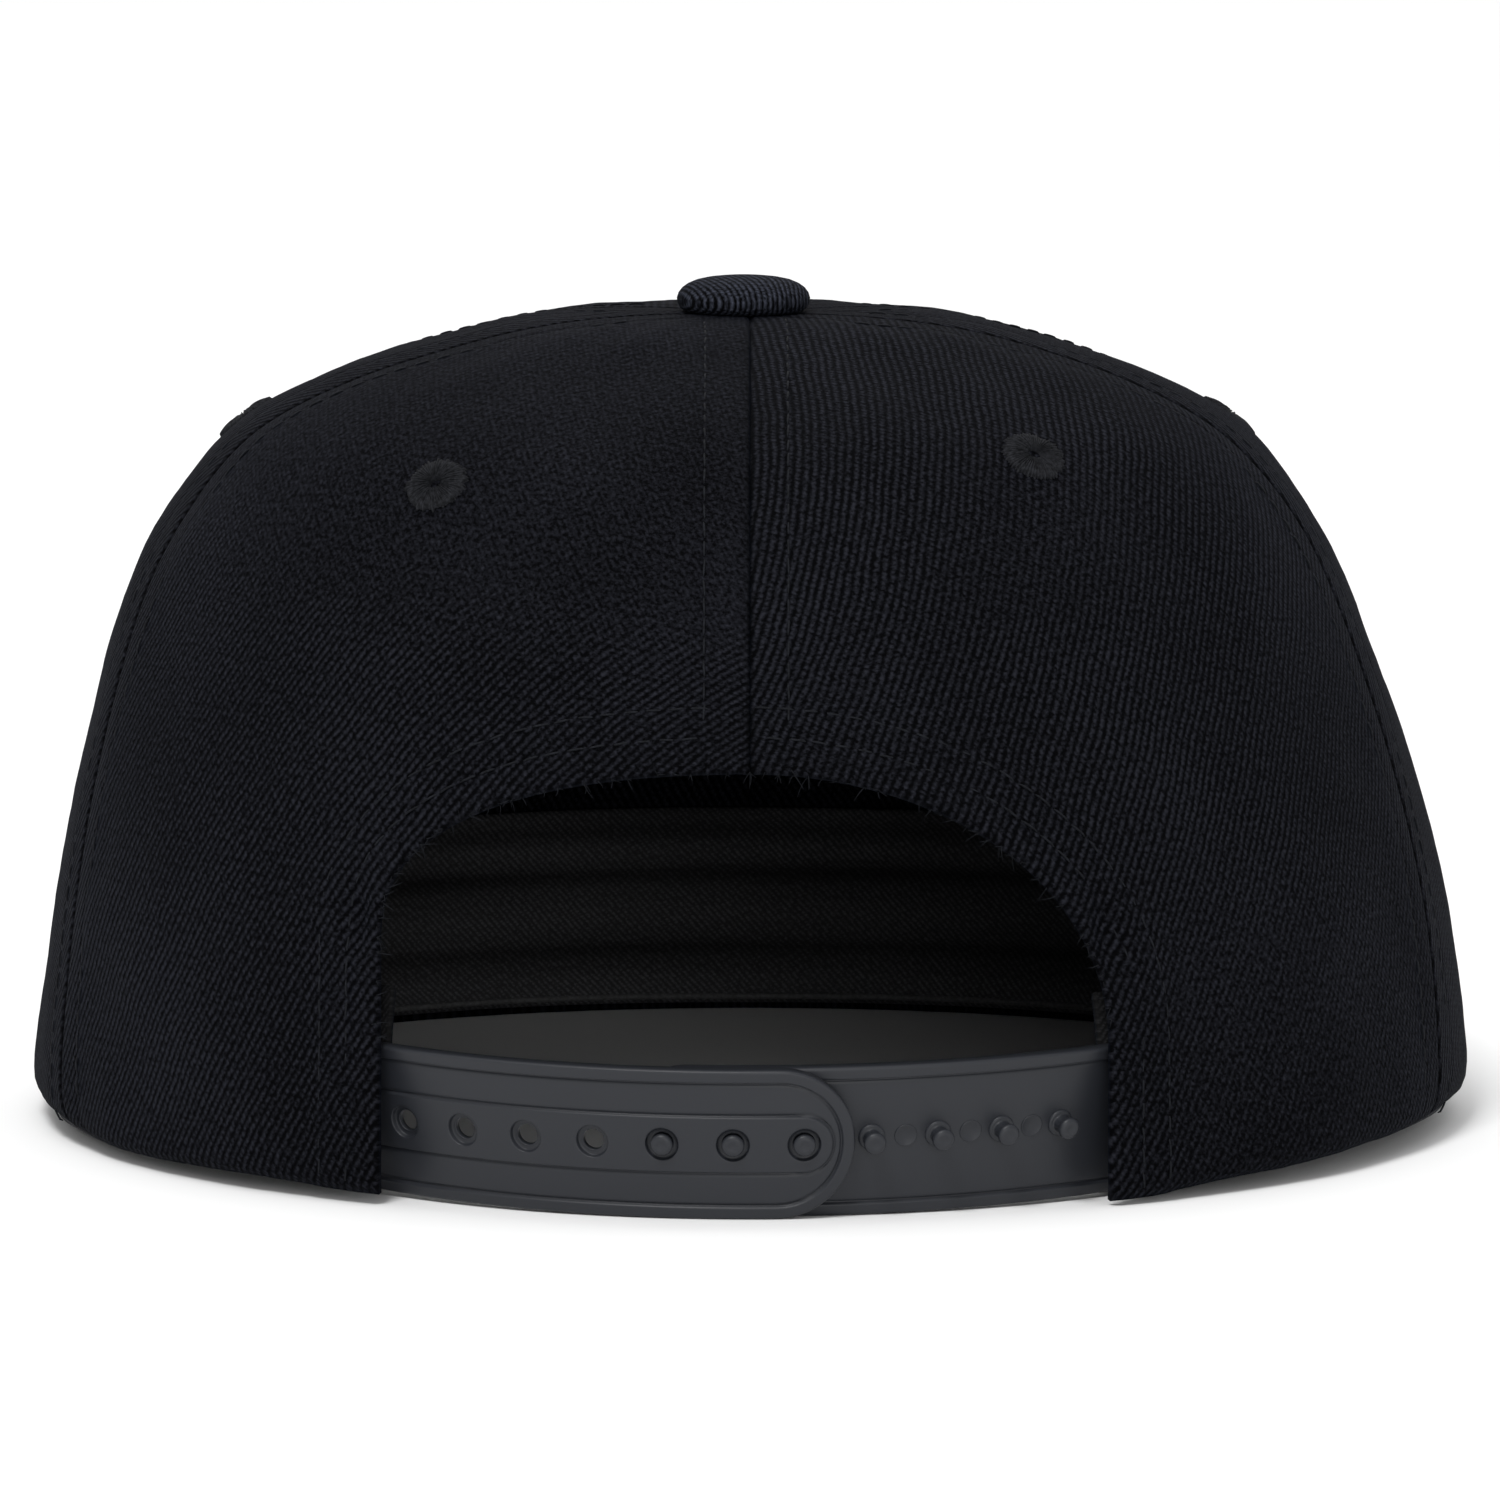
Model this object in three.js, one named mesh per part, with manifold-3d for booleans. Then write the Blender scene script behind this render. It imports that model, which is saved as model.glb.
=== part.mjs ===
// A six-panel snapback cap with a flat visor, resting on the visor and the rear strap.
// Lengths are millimetres. +Z is up, +Y points out over the visor and +X is the wearer's right.
import * as THREE from "three";
import { mergeVertices } from "three/addons/utils/BufferGeometryUtils.js";
import Module from "manifold-3d";

// Crown
const CROWN_HALF_WIDTH = 102;
const CROWN_HALF_LENGTH = 93;
const CROWN_HEIGHT = 114;
const PANEL_THICKNESS = 1.6;
const PANEL_PUFF = 0.9;
const CLEARANCE = 0.3;

// Visor
const VISOR_THICKNESS = 2.9;
const VISOR_REACH = 70;
const VISOR_HALF_WIDTH = 97;
const VISOR_EDGE_BEVEL = 0.6;
const VISOR_SQUARENESS = 2.35;
const VISOR_START_DEGREES = 117;

// Rear arch
const ARCH_HALF_WIDTH = 50;
const ARCH_TOP = 59.5;

// Sweatband
const SWEATBAND_HEIGHT = 29;
const SWEATBAND_THICKNESS = 1.4;
const SWEATBAND_END_SHOWS = 1.5;
const SWEATBAND_LAP = 7;
const SWEATBAND_TURN = 12;

// Closure straps
const STRAP_HEIGHT = 20.8;
const STRAP_PLATE = 1.2;
const STRAP_RELIEF = 0.4;
const STRAP_RIM = 1.7;
const STRAP_BAND_HEIGHT = 7.8;
const STRAP_SAG = 1.5;
const STRAP_INSET = 1.2;
const STRAP_TILT_DEGREES = 12;
const STRAP_ROOT = 7;
const STRAP_TUCK = 0.8;
const STRAP_TIP = 7.1;
const SNAP_PITCH = 9.6;
const SNAP_COUNT = 7;
const SNAPS_CLOSED = 3;
const LAST_HOLE_X = 7.1;
const HOLE_RADIUS = 1.5;
const SNAP_PLAY = 0.4;
const COUNTERSINK_RADIUS = 2.15;
const COUNTERSINK_DEPTH = 0.7;
const PEG_HEAD_RADIUS = 1.6;
const PEG_HEAD_HEIGHT = 1;

// Button and eyelets
const BUTTON_RADIUS = 9.4;
const BUTTON_HEIGHT = 4.6;
const BUTTON_SHANK_RADIUS = 2.2;
const BUTTON_WASHER_RADIUS = 5.5;
const BUTTON_WASHER_THICKNESS = 1;
const EYELET_RADIUS = 4.6;
const EYELET_HOLE_RADIUS = 1.2;
const EYELET_RISE = 0.9;

// Each row is a ring of the crown, from its rim up to the button. height is a share of CROWN_HEIGHT,
// back and front are shares of CROWN_HALF_LENGTH, and side and lean are shares of CROWN_HALF_WIDTH.
const RINGS = [
  { height: 0.0, back: 0.98, side: 0.985, front: 0.99, lean: 0.0 },
  { height: 0.05, back: 0.991, side: 0.994, front: 1.0, lean: 0.0 },
  { height: 0.24, back: 0.971, side: 0.964, front: 0.985, lean: 0.0 },
  { height: 0.44, back: 0.912, side: 0.914, front: 0.95, lean: -0.007 },
  { height: 0.64, back: 0.8, side: 0.845, front: 0.895, lean: -0.015 },
  { height: 0.76, back: 0.705, side: 0.777, front: 0.84, lean: -0.015 },
  { height: 0.855, back: 0.596, side: 0.685, front: 0.76, lean: -0.018 },
  { height: 0.92, back: 0.462, side: 0.552, front: 0.647, lean: -0.015 },
  { height: 0.967, back: 0.312, side: 0.393, front: 0.5, lean: -0.009 },
  { height: 0.991, back: 0.207, side: 0.268, front: 0.31, lean: -0.007 },
  { height: 0.999, back: 0.113, side: 0.143, front: 0.16, lean: -0.008 },
  { height: 0.997, back: 0.033, side: 0.033, front: 0.033, lean: -0.009 },
];

// How high the rim stands off the floor, as shares of the visor's thickness and its clearance.
const RIM_LIFT = [
  { degrees: 0, left: 0.25, right: 0.05 },
  { degrees: 30, left: 0.4, right: 0.13 },
  { degrees: 45, left: 0.63, right: 0.66 },
  { degrees: 60, left: 0.52, right: 1.02 },
  { degrees: 75, left: 0.9, right: 1.3 },
  { degrees: 95, left: 1.1, right: 1.3 },
  { degrees: 115, left: 1.0, right: 1.0 },
  { degrees: 180, left: 1.0, right: 1.0 },
];

// Where the two seams of each side panel run, in degrees round from the back. The rows are evenly
// spaced from the rim to the button.
const SEAMS = [
  { rear: 70, front: 121 },
  { rear: 76, front: 121 },
  { rear: 78, front: 120.5 },
  { rear: 75.5, front: 120 },
  { rear: 62, front: 120 },
];

// The arch's two halves: reach is a share of ARCH_HALF_WIDTH, spring of ARCH_TOP.
const ARCH_SIDES = [
  { side: -1, reach: 1.01, spring: 0.61, squareness: 2.3 },
  { side: 1, reach: 0.98, spring: 0.38, squareness: 2.0 },
];

// The vent eyelets: across is a share of the panel's width, height a share of CROWN_HEIGHT.
const EYELETS = [
  { panel: "back_left", across: 0.475, height: 0.83 },
  { panel: "back_right", across: 0.505, height: 0.862 },
  { panel: "side_left", across: 0.5, height: 0.855 },
  { panel: "side_right", across: 0.5, height: 0.855 },
  { panel: "front_left", across: 0.5, height: 0.86 },
  { panel: "front_right", across: 0.5, height: 0.86 },
];

// Mesh fineness
const PANEL_COLUMNS = 10;
const PANEL_ROWS = 17;
const BAND_COLUMNS = 76;
const BAND_ROWS = 3;
const STRAP_COLUMNS = 22;
const ROUND_SIDES = 12;
const ARCH_STEPS = 10;
const STRAP_RUN_STEPS = 12;
const VISOR_STEPS = 26;

const STRAP_THICKNESS = STRAP_PLATE + STRAP_RELIEF;
const STRAP_OVERLAP = STRAP_THICKNESS + SNAP_PLAY;
const PEG_HEIGHT = STRAP_OVERLAP + STRAP_RELIEF + PEG_HEAD_HEIGHT + CLEARANCE - COUNTERSINK_DEPTH;
const RIM_STAND_OFF = VISOR_THICKNESS + CLEARANCE;
const STRAP_DRIFT = Math.tan(THREE.MathUtils.degToRad(STRAP_TILT_DEGREES));
const HALF_TURN = 180;
const STEP = 1e-3;
const SEARCH_STEPS = 30;

const clamp = THREE.MathUtils.clamp;
const radians = THREE.MathUtils.degToRad;

const wasm = await Module();
wasm.setup();

// Cloth and plastics
const twill = new THREE.MeshStandardMaterial({ color: 0x15161b, roughness: 0.9, metalness: 0 });
const thread = new THREE.MeshStandardMaterial({ color: 0x1b1c20, roughness: 0.7, metalness: 0 });
const bandTwill = new THREE.MeshStandardMaterial({ color: 0x131313, roughness: 0.9, metalness: 0 });
const plastic = new THREE.MeshStandardMaterial({ color: 0x3a3b3f, roughness: 0.5, metalness: 0 });

// A geometry with shared corners whose faces point outwards.
function closed(geometry) {
  geometry.deleteAttribute("normal");
  geometry.deleteAttribute("uv");
  const merged = mergeVertices(geometry, 1e-4);
  const points = merged.attributes.position;
  const index = merged.index.array;
  const corners = [new THREE.Vector3(), new THREE.Vector3(), new THREE.Vector3()];
  let volume = 0;
  for (let i = 0; i < index.length; i += 3) {
    corners.forEach((corner, k) => corner.fromBufferAttribute(points, index[i + k]));
    volume += corners[0].dot(corners[1].clone().cross(corners[2]));
  }
  if (volume < 0) {
    for (let i = 0; i < index.length; i += 3) {
      [index[i + 1], index[i + 2]] = [index[i + 2], index[i + 1]];
    }
  }
  return merged;
}

function toSolid(geometry) {
  const merged = closed(geometry);
  const vertProperties = new Float32Array(merged.attributes.position.array);
  const triVerts = new Uint32Array(merged.index.array);
  return new wasm.Manifold(new wasm.Mesh({ numProp: 3, vertProperties, triVerts }));
}

function toGeometry(solid) {
  const mesh = solid.getMesh();
  const geometry = new THREE.BufferGeometry();
  geometry.setAttribute("position", new THREE.BufferAttribute(mesh.vertProperties, 3));
  geometry.setIndex(new THREE.BufferAttribute(mesh.triVerts, 1));
  return geometry;
}

// A closed wall between two faces, each a grid of points given by face(column share, row share).
function wall(columns, rows, outerFace, innerFace) {
  const positions = [];
  const triangles = [];
  const perFace = (columns + 1) * (rows + 1);
  for (const face of [outerFace, innerFace]) {
    for (let row = 0; row <= rows; row += 1) {
      for (let column = 0; column <= columns; column += 1) {
        positions.push(...face(column / columns, row / rows).toArray());
      }
    }
  }
  const at = (column, row) => row * (columns + 1) + column;
  const quad = (a, b, c, d) => triangles.push(a, b, c, a, c, d);
  for (let row = 0; row < rows; row += 1) {
    for (let column = 0; column < columns; column += 1) {
      const corners = [at(column, row), at(column + 1, row), at(column + 1, row + 1), at(column, row + 1)];
      quad(...corners);
      quad(...corners.map((corner) => corner + perFace).reverse());
    }
  }
  for (let column = 0; column < columns; column += 1) {
    quad(at(column + 1, 0), at(column, 0), at(column, 0) + perFace, at(column + 1, 0) + perFace);
    quad(at(column, rows), at(column + 1, rows), at(column + 1, rows) + perFace, at(column, rows) + perFace);
  }
  for (let row = 0; row < rows; row += 1) {
    quad(at(0, row), at(0, row + 1), at(0, row + 1) + perFace, at(0, row) + perFace);
    quad(at(columns, row + 1), at(columns, row), at(columns, row) + perFace, at(columns, row + 1) + perFace);
  }
  const geometry = new THREE.BufferGeometry();
  geometry.setAttribute("position", new THREE.Float32BufferAttribute(positions, 3));
  geometry.setIndex(triangles);
  return closed(geometry);
}

// A prism along Y whose outline is drawn in X and Z.
function prism(outline, fromY, toY) {
  const geometry = new THREE.ExtrudeGeometry(new THREE.Shape(outline), {
    depth: toY - fromY,
    bevelEnabled: false,
  });
  geometry.rotateX(Math.PI / 2);
  geometry.translate(0, toY, 0);
  return toSolid(geometry);
}

// The value of one column of a table at a place between its rows, eased from row to row.
function between(table, along, place, column) {
  const last = table.length - 2;
  const row = clamp(table.findIndex((entry) => entry[along] > place) - 1, 0, last);
  const index = place >= table[last][along] ? last : row;
  const share = clamp((place - table[index][along]) / (table[index + 1][along] - table[index][along]), 0, 1);
  const eased = share * share * (3 - 2 * share);
  return THREE.MathUtils.lerp(table[index][column], table[index + 1][column], eased);
}

const profiles = {};
for (const column of ["back", "side", "front", "lean"]) {
  profiles[column] = new THREE.SplineCurve(RINGS.map((ring) => new THREE.Vector2(ring[column], ring.height)));
}

const seams = {};
for (const column of ["rear", "front"]) {
  seams[column] = new THREE.SplineCurve(SEAMS.map((row, i) => new THREE.Vector2(row[column], i)));
}

// How far round its panel an angle lies, from one seam to the next.
function shareOfPanel(angle, up) {
  const degrees = Math.min(THREE.MathUtils.radToDeg(Math.abs(angle)), HALF_TURN);
  const rear = seams.rear.getPoint(up).x;
  const front = seams.front.getPoint(up).x;
  if (degrees < rear) {
    return degrees / rear;
  }
  if (degrees < front) {
    return (degrees - rear) / (front - rear);
  }
  return (degrees - front) / (HALF_TURN - front);
}

// The crown's outer surface: angle goes round from the back, up goes from the rim to the button.
function crownSurface(angle, up) {
  const level = clamp(up, 0, 1);
  const backing = Math.max(Math.cos(angle), 0) ** 2;
  const fronting = Math.max(-Math.cos(angle), 0) ** 2;
  const siding = Math.sin(angle) ** 2;
  const side = profiles.side.getPoint(level);
  const reach =
    backing * profiles.back.getPoint(level).x + siding * side.x + fronting * profiles.front.getPoint(level).x;
  const puff = PANEL_PUFF * Math.sin(Math.PI * shareOfPanel(angle, level)) * Math.sin(Math.PI * level);
  const degrees = THREE.MathUtils.radToDeg(Math.abs(angle));
  const lift = RIM_STAND_OFF * between(RIM_LIFT, "degrees", degrees, angle < 0 ? "left" : "right");
  const lean = profiles.lean.getPoint(level).x * CROWN_HALF_WIDTH;
  return new THREE.Vector3(
    (CROWN_HALF_WIDTH * reach + puff) * Math.sin(angle) + lean,
    -(CROWN_HALF_LENGTH * reach + puff) * Math.cos(angle),
    side.y * CROWN_HEIGHT + lift * (1 - side.y),
  );
}

function crownNormal(angle, up) {
  const across = crownSurface(angle + STEP, up).sub(crownSurface(angle - STEP, up));
  const along = crownSurface(angle, up + STEP).sub(crownSurface(angle, up - STEP));
  return across.cross(along).normalize();
}

// A point a given depth under the crown's outer surface.
function crownPoint(angle, up, depth) {
  return crownSurface(angle, up).addScaledVector(crownNormal(angle, up), -depth);
}

// The ring place where the crown reaches a height, given as a share of CROWN_HEIGHT.
function upAtHeight(height) {
  let low = 0;
  let high = 1 - 1 / RINGS.length;
  for (let i = 0; i < SEARCH_STEPS; i += 1) {
    const middle = (low + high) / 2;
    if (profiles.side.getPoint(middle).y < height) {
      low = middle;
    } else {
      high = middle;
    }
  }
  return low;
}

// A panel's two seams at a ring place, drawn in by half a clearance so that panels don't touch.
function panelEdges(kind, up) {
  const rear = radians(seams.rear.getPoint(up).x);
  const front = radians(seams.front.getPoint(up).x);
  const edges = { back: [0, rear], side: [rear, front], front: [front, Math.PI] }[kind];
  const spread = (angle) =>
    crownSurface(angle + STEP, up).distanceTo(crownSurface(angle - STEP, up)) / (2 * STEP);
  const half = CLEARANCE / 2;
  return [edges[0] + half / spread(edges[0]), edges[1] - half / spread(edges[1])];
}

function panelAngle(kind, side, across, up) {
  const [from, to] = panelEdges(kind, up);
  return side * THREE.MathUtils.lerp(from, to, across);
}

// The arch over the strap, drawn in X and Z and open below the rim.
function archOutline() {
  const outline = [];
  for (const half of ARCH_SIDES) {
    const reach = half.reach * ARCH_HALF_WIDTH;
    const spring = half.spring * ARCH_TOP;
    const curve = [new THREE.Vector2(half.side * reach, -STRAP_HEIGHT)];
    for (let i = 0; i <= ARCH_STEPS; i += 1) {
      const turn = ((Math.PI / 2) * i) / ARCH_STEPS;
      const x = reach * Math.max(Math.cos(turn), 0) ** (2 / half.squareness);
      const z = spring + (ARCH_TOP - spring) * Math.sin(turn) ** (2 / half.squareness);
      curve.push(new THREE.Vector2(half.side * x, z));
    }
    outline.push(...(half.side < 0 ? curve : curve.reverse().slice(1)));
  }
  return outline;
}

// A bar through the crown wall, square to it, at an eyelet.
function eyeletBar(angle, up) {
  const bar = new THREE.CylinderGeometry(
    EYELET_HOLE_RADIUS,
    EYELET_HOLE_RADIUS,
    PANEL_THICKNESS * 6,
    ROUND_SIDES,
  );
  const turn = new THREE.Quaternion().setFromUnitVectors(new THREE.Vector3(0, 1, 0), crownNormal(angle, up));
  bar.applyQuaternion(turn);
  bar.translate(...crownSurface(angle, up).toArray());
  return toSolid(bar);
}

function eyeletPlace(name) {
  const entry = EYELETS.find((eyelet) => eyelet.panel === name);
  const [kind, hand] = name.split("_");
  const up = upAtHeight(entry.height);
  return { angle: panelAngle(kind, hand === "left" ? -1 : 1, entry.across, up), up };
}

function panelGeometry(name) {
  const [kind, hand] = name.split("_");
  const side = hand === "left" ? -1 : 1;
  const face = (depth) => (across, up) => crownPoint(panelAngle(kind, side, across, up), up, depth);
  let panel = toSolid(wall(PANEL_COLUMNS, PANEL_ROWS, face(0), face(PANEL_THICKNESS)));
  const { angle, up } = eyeletPlace(name);
  panel = panel.subtract(eyeletBar(angle, up));
  if (kind === "back") {
    panel = panel.subtract(prism(archOutline(), -1.5 * CROWN_HALF_LENGTH, -CROWN_HALF_LENGTH / 4));
  }
  return toGeometry(panel);
}

// An embroidered ring that follows the cloth round a vent hole.
function eyeletGeometry(name) {
  const { angle, up } = eyeletPlace(name);
  const perAngle = crownSurface(angle + STEP, up).distanceTo(crownSurface(angle - STEP, up)) / (2 * STEP);
  const perUp = crownSurface(angle, up + STEP).distanceTo(crownSurface(angle, up - STEP)) / (2 * STEP);
  const section = [
    { out: EYELET_HOLE_RADIUS, rise: 0 },
    { out: EYELET_HOLE_RADIUS, rise: 0.7 * EYELET_RISE },
    { out: (EYELET_HOLE_RADIUS + EYELET_RADIUS) / 2, rise: EYELET_RISE },
    { out: EYELET_RADIUS - EYELET_RISE / 3, rise: 0.6 * EYELET_RISE },
    { out: EYELET_RADIUS, rise: 0 },
  ];
  const positions = [];
  const triangles = [];
  for (let turn = 0; turn < ROUND_SIDES; turn += 1) {
    const round = (2 * Math.PI * turn) / ROUND_SIDES;
    for (const { out, rise } of section) {
      const around = angle + (out * Math.cos(round)) / perAngle;
      const along = up + (out * Math.sin(round)) / perUp;
      positions.push(...crownPoint(around, along, -CLEARANCE - rise).toArray());
    }
  }
  const count = section.length;
  for (let turn = 0; turn < ROUND_SIDES; turn += 1) {
    const next = (turn + 1) % ROUND_SIDES;
    for (let i = 0; i < count; i += 1) {
      const j = (i + 1) % count;
      const corners = [turn * count + i, turn * count + j, next * count + j, next * count + i];
      triangles.push(corners[0], corners[1], corners[2], corners[0], corners[2], corners[3]);
    }
  }
  const geometry = new THREE.BufferGeometry();
  geometry.setAttribute("position", new THREE.Float32BufferAttribute(positions, 3));
  geometry.setIndex(triangles);
  return closed(geometry);
}

// The covered button: a low dome, a shank through the crown and a washer inside.
function buttonGeometry() {
  const seat = CLEARANCE;
  const inside = -PANEL_THICKNESS - 2 * CLEARANCE;
  const profile = [
    [0, inside - BUTTON_WASHER_THICKNESS],
    [BUTTON_WASHER_RADIUS, inside - BUTTON_WASHER_THICKNESS],
    [BUTTON_WASHER_RADIUS, inside],
    [BUTTON_SHANK_RADIUS, inside],
    [BUTTON_SHANK_RADIUS, seat],
    [0.9 * BUTTON_RADIUS, seat],
    [BUTTON_RADIUS, seat + 0.18 * BUTTON_HEIGHT],
    [0.97 * BUTTON_RADIUS, seat + 0.45 * BUTTON_HEIGHT],
    [0.82 * BUTTON_RADIUS, seat + 0.75 * BUTTON_HEIGHT],
    [0.5 * BUTTON_RADIUS, seat + 0.94 * BUTTON_HEIGHT],
    [0, seat + BUTTON_HEIGHT],
  ];
  const lathe = new THREE.LatheGeometry(
    profile.map(([out, rise]) => new THREE.Vector2(out, rise)),
    2 * ROUND_SIDES,
  );
  lathe.rotateX(Math.PI / 2);
  const top = RINGS.at(-1);
  lathe.translate(top.lean * CROWN_HALF_WIDTH, 0, CROWN_HEIGHT);
  return closed(lathe);
}

// The flat visor: it leaves the crown at the rim's outer face, and its inner edge lies under the rim.
function visorGeometry() {
  const start = radians(VISOR_START_DEGREES);
  const root = crownSurface(start, 0);
  const tip = crownSurface(Math.PI, 0).y + VISOR_REACH;
  const outline = [];
  for (let i = 0; i <= VISOR_STEPS; i += 1) {
    const turn = (Math.PI * i) / VISOR_STEPS;
    const wide = Math.abs(Math.cos(turn)) ** (2 / VISOR_SQUARENESS) * Math.sign(Math.cos(turn));
    const deep = Math.max(Math.sin(turn), 0) ** (2 / VISOR_SQUARENESS);
    const halfWidth = THREE.MathUtils.lerp(root.x, VISOR_HALF_WIDTH, deep);
    outline.push(new THREE.Vector2(halfWidth * wide, root.y + (tip - root.y) * deep));
  }
  for (let i = 0; i <= VISOR_STEPS; i += 1) {
    const angle = THREE.MathUtils.lerp(start, 2 * Math.PI - start, 1 - i / VISOR_STEPS);
    const signed = angle > Math.PI ? angle - 2 * Math.PI : angle;
    const point = crownPoint(signed, 0, PANEL_THICKNESS);
    outline.push(new THREE.Vector2(point.x, point.y));
  }
  const geometry = new THREE.ExtrudeGeometry(new THREE.Shape(outline), {
    depth: VISOR_THICKNESS - 2 * VISOR_EDGE_BEVEL,
    bevelEnabled: true,
    bevelThickness: VISOR_EDGE_BEVEL,
    bevelSize: VISOR_EDGE_BEVEL,
    bevelOffset: -VISOR_EDGE_BEVEL,
    bevelSegments: 1,
  });
  geometry.translate(0, 0, VISOR_EDGE_BEVEL);
  return closed(geometry);
}

function archEdge(side) {
  const half = ARCH_SIDES.find((entry) => entry.side === side);
  return side * half.reach * ARCH_HALF_WIDTH;
}

// The angle round the crown, at its rim, of a place beside the arch.
function rimAngle(x) {
  return Math.asin(x / (RINGS[1].side * CROWN_HALF_WIDTH));
}

// The arc that a strap bends along. Its face looks down a little, so its top edge leaves from behind
// the rear panel at the arch's edge. It stands out in the middle, and the strap under the other
// starts deeper there.
function strapArc(side, depthInMiddle) {
  const top = upAtHeight((STRAP_SAG + STRAP_HEIGHT) / CROWN_HEIGHT);
  const edge = crownPoint(rimAngle(archEdge(side)), top, PANEL_THICKNESS + STRAP_TUCK);
  const overhang = (STRAP_DRIFT * STRAP_HEIGHT) / 2;
  const topMiddleY = -CROWN_HALF_LENGTH + STRAP_INSET + depthInMiddle - overhang;
  const rise = edge.y - topMiddleY;
  const topRadius = (edge.x * edge.x + rise * rise) / (2 * rise);
  return { radius: topRadius - overhang, centreY: topMiddleY + topRadius };
}

const leftArc = strapArc(-1, 0);
const rightArc = strapArc(1, STRAP_OVERLAP);

// A point on a strap: x along the cap's width, z up, depth in from the strap's outer face.
function arcPoint(arc, x, z, depth) {
  const turn = Math.asin(x / arc.radius);
  const radius = arc.radius - depth + STRAP_DRIFT * (z - strapMiddle(x));
  return new THREE.Vector3(radius * Math.sin(turn), arc.centreY - radius * Math.cos(turn), z);
}

function strapMiddle(x) {
  return STRAP_HEIGHT / 2 + STRAP_SAG * (x / ARCH_HALF_WIDTH) ** 2;
}

// The strap's outline in X and Z, drawn in by an inset: a straight root and a round end.
function strapOutline(rootX, tipX, halfHeight, inset) {
  const half = halfHeight - inset;
  const direction = Math.sign(tipX - rootX);
  const centreX = tipX - direction * halfHeight;
  const outline = [];
  for (let i = 0; i <= STRAP_RUN_STEPS; i += 1) {
    const x = THREE.MathUtils.lerp(rootX, centreX, i / STRAP_RUN_STEPS);
    outline.push(new THREE.Vector2(x, strapMiddle(x) + half));
  }
  for (let i = 1; i < ROUND_SIDES; i += 1) {
    const turn = Math.PI / 2 - (Math.PI * i) / ROUND_SIDES;
    const x = centreX + direction * half * Math.cos(turn);
    outline.push(new THREE.Vector2(x, strapMiddle(centreX) + half * Math.sin(turn)));
  }
  for (let i = STRAP_RUN_STEPS; i >= 0; i -= 1) {
    const x = THREE.MathUtils.lerp(rootX, centreX, i / STRAP_RUN_STEPS);
    outline.push(new THREE.Vector2(x, strapMiddle(x) - half));
  }
  return outline;
}

// One layer of a strap between two depths, cut to an outline.
function strapLayer(arc, outline, fromDepth, toDepth) {
  const low = -STRAP_HEIGHT;
  const high = 2 * STRAP_HEIGHT;
  const reach = ARCH_HALF_WIDTH + 2 * STRAP_ROOT;
  const face = (depth) => (across, up) =>
    arcPoint(arc, THREE.MathUtils.lerp(-reach, reach, across), THREE.MathUtils.lerp(low, high, up), depth);
  const slab = toSolid(wall(STRAP_COLUMNS, 1, face(fromDepth), face(toDepth)));
  return slab.intersect(prism(outline, -1.5 * CROWN_HALF_LENGTH, 0));
}

// A round post or cutter square to a strap, from one depth to another, made on the left strap's arc.
function snapPost(x, radius, fromDepth, toDepth) {
  const post = new THREE.CylinderGeometry(radius, radius, toDepth - fromDepth, ROUND_SIDES);
  const turn = Math.asin(x / leftArc.radius);
  post.translate(0, (fromDepth + toDepth) / 2, 0);
  post.rotateX(radians(STRAP_TILT_DEGREES));
  post.rotateZ(turn);
  const onFace = arcPoint(leftArc, x, strapMiddle(x), 0);
  post.translate(...onFace.toArray());
  return toSolid(post);
}

// The places of the holes, counted from the root of the left strap.
function snapPlaces(firstIndex) {
  const lastTurn = Math.asin(LAST_HOLE_X / leftArc.radius);
  return Array.from({ length: SNAP_COUNT }, (_, i) => {
    const steps = firstIndex + i - (SNAP_COUNT - 1);
    return leftArc.radius * Math.sin(lastTurn + (steps * SNAP_PITCH) / leftArc.radius);
  });
}

const holePlaces = snapPlaces(0);
const pegPlaces = snapPlaces(SNAP_COUNT - SNAPS_CLOSED);

function strapLeftGeometry() {
  const rootX = archEdge(-1) - STRAP_ROOT;
  const tipX = holePlaces.at(-1) + STRAP_TIP;
  const half = STRAP_HEIGHT / 2;
  const whole = strapOutline(rootX, tipX, half, 0);
  const inner = strapOutline(rootX - 1, tipX, half, STRAP_RIM);
  const band = strapOutline(rootX, tipX, half, half - STRAP_BAND_HEIGHT / 2);
  let strap = strapLayer(leftArc, whole, 0, STRAP_THICKNESS);
  const hollow = strapLayer(leftArc, inner, -1, STRAP_RELIEF);
  const keep = strapLayer(leftArc, band, -2, 2 * STRAP_THICKNESS);
  strap = strap.subtract(hollow.subtract(keep));
  for (const x of holePlaces) {
    strap = strap.subtract(snapPost(x, HOLE_RADIUS, -1, STRAP_THICKNESS + 1));
    strap = strap.subtract(snapPost(x, COUNTERSINK_RADIUS, -1, COUNTERSINK_DEPTH));
  }
  return toGeometry(strap);
}

function strapRightGeometry() {
  const rootX = archEdge(1) + STRAP_ROOT;
  const tipX = pegPlaces[0] - STRAP_TIP;
  const half = STRAP_HEIGHT / 2;
  const whole = strapOutline(rootX, tipX, half, 0);
  const inner = strapOutline(rootX + 1, tipX, half, STRAP_RIM);
  let strap = strapLayer(rightArc, whole, 0, STRAP_THICKNESS);
  strap = strap.subtract(strapLayer(rightArc, inner, -1, STRAP_RELIEF));
  const stemRadius = HOLE_RADIUS - SNAP_PLAY;
  for (const x of pegPlaces) {
    const field = arcPoint(rightArc, x, 0, STRAP_RELIEF).distanceTo(arcPoint(leftArc, x, 0, 0));
    const top = field - PEG_HEIGHT;
    strap = strap.add(snapPost(x, stemRadius, top + PEG_HEAD_HEIGHT / 2, field + STRAP_PLATE / 2));
    strap = strap.add(snapPost(x, PEG_HEAD_RADIUS, top, top + PEG_HEAD_HEIGHT));
  }
  return toGeometry(strap);
}

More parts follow.
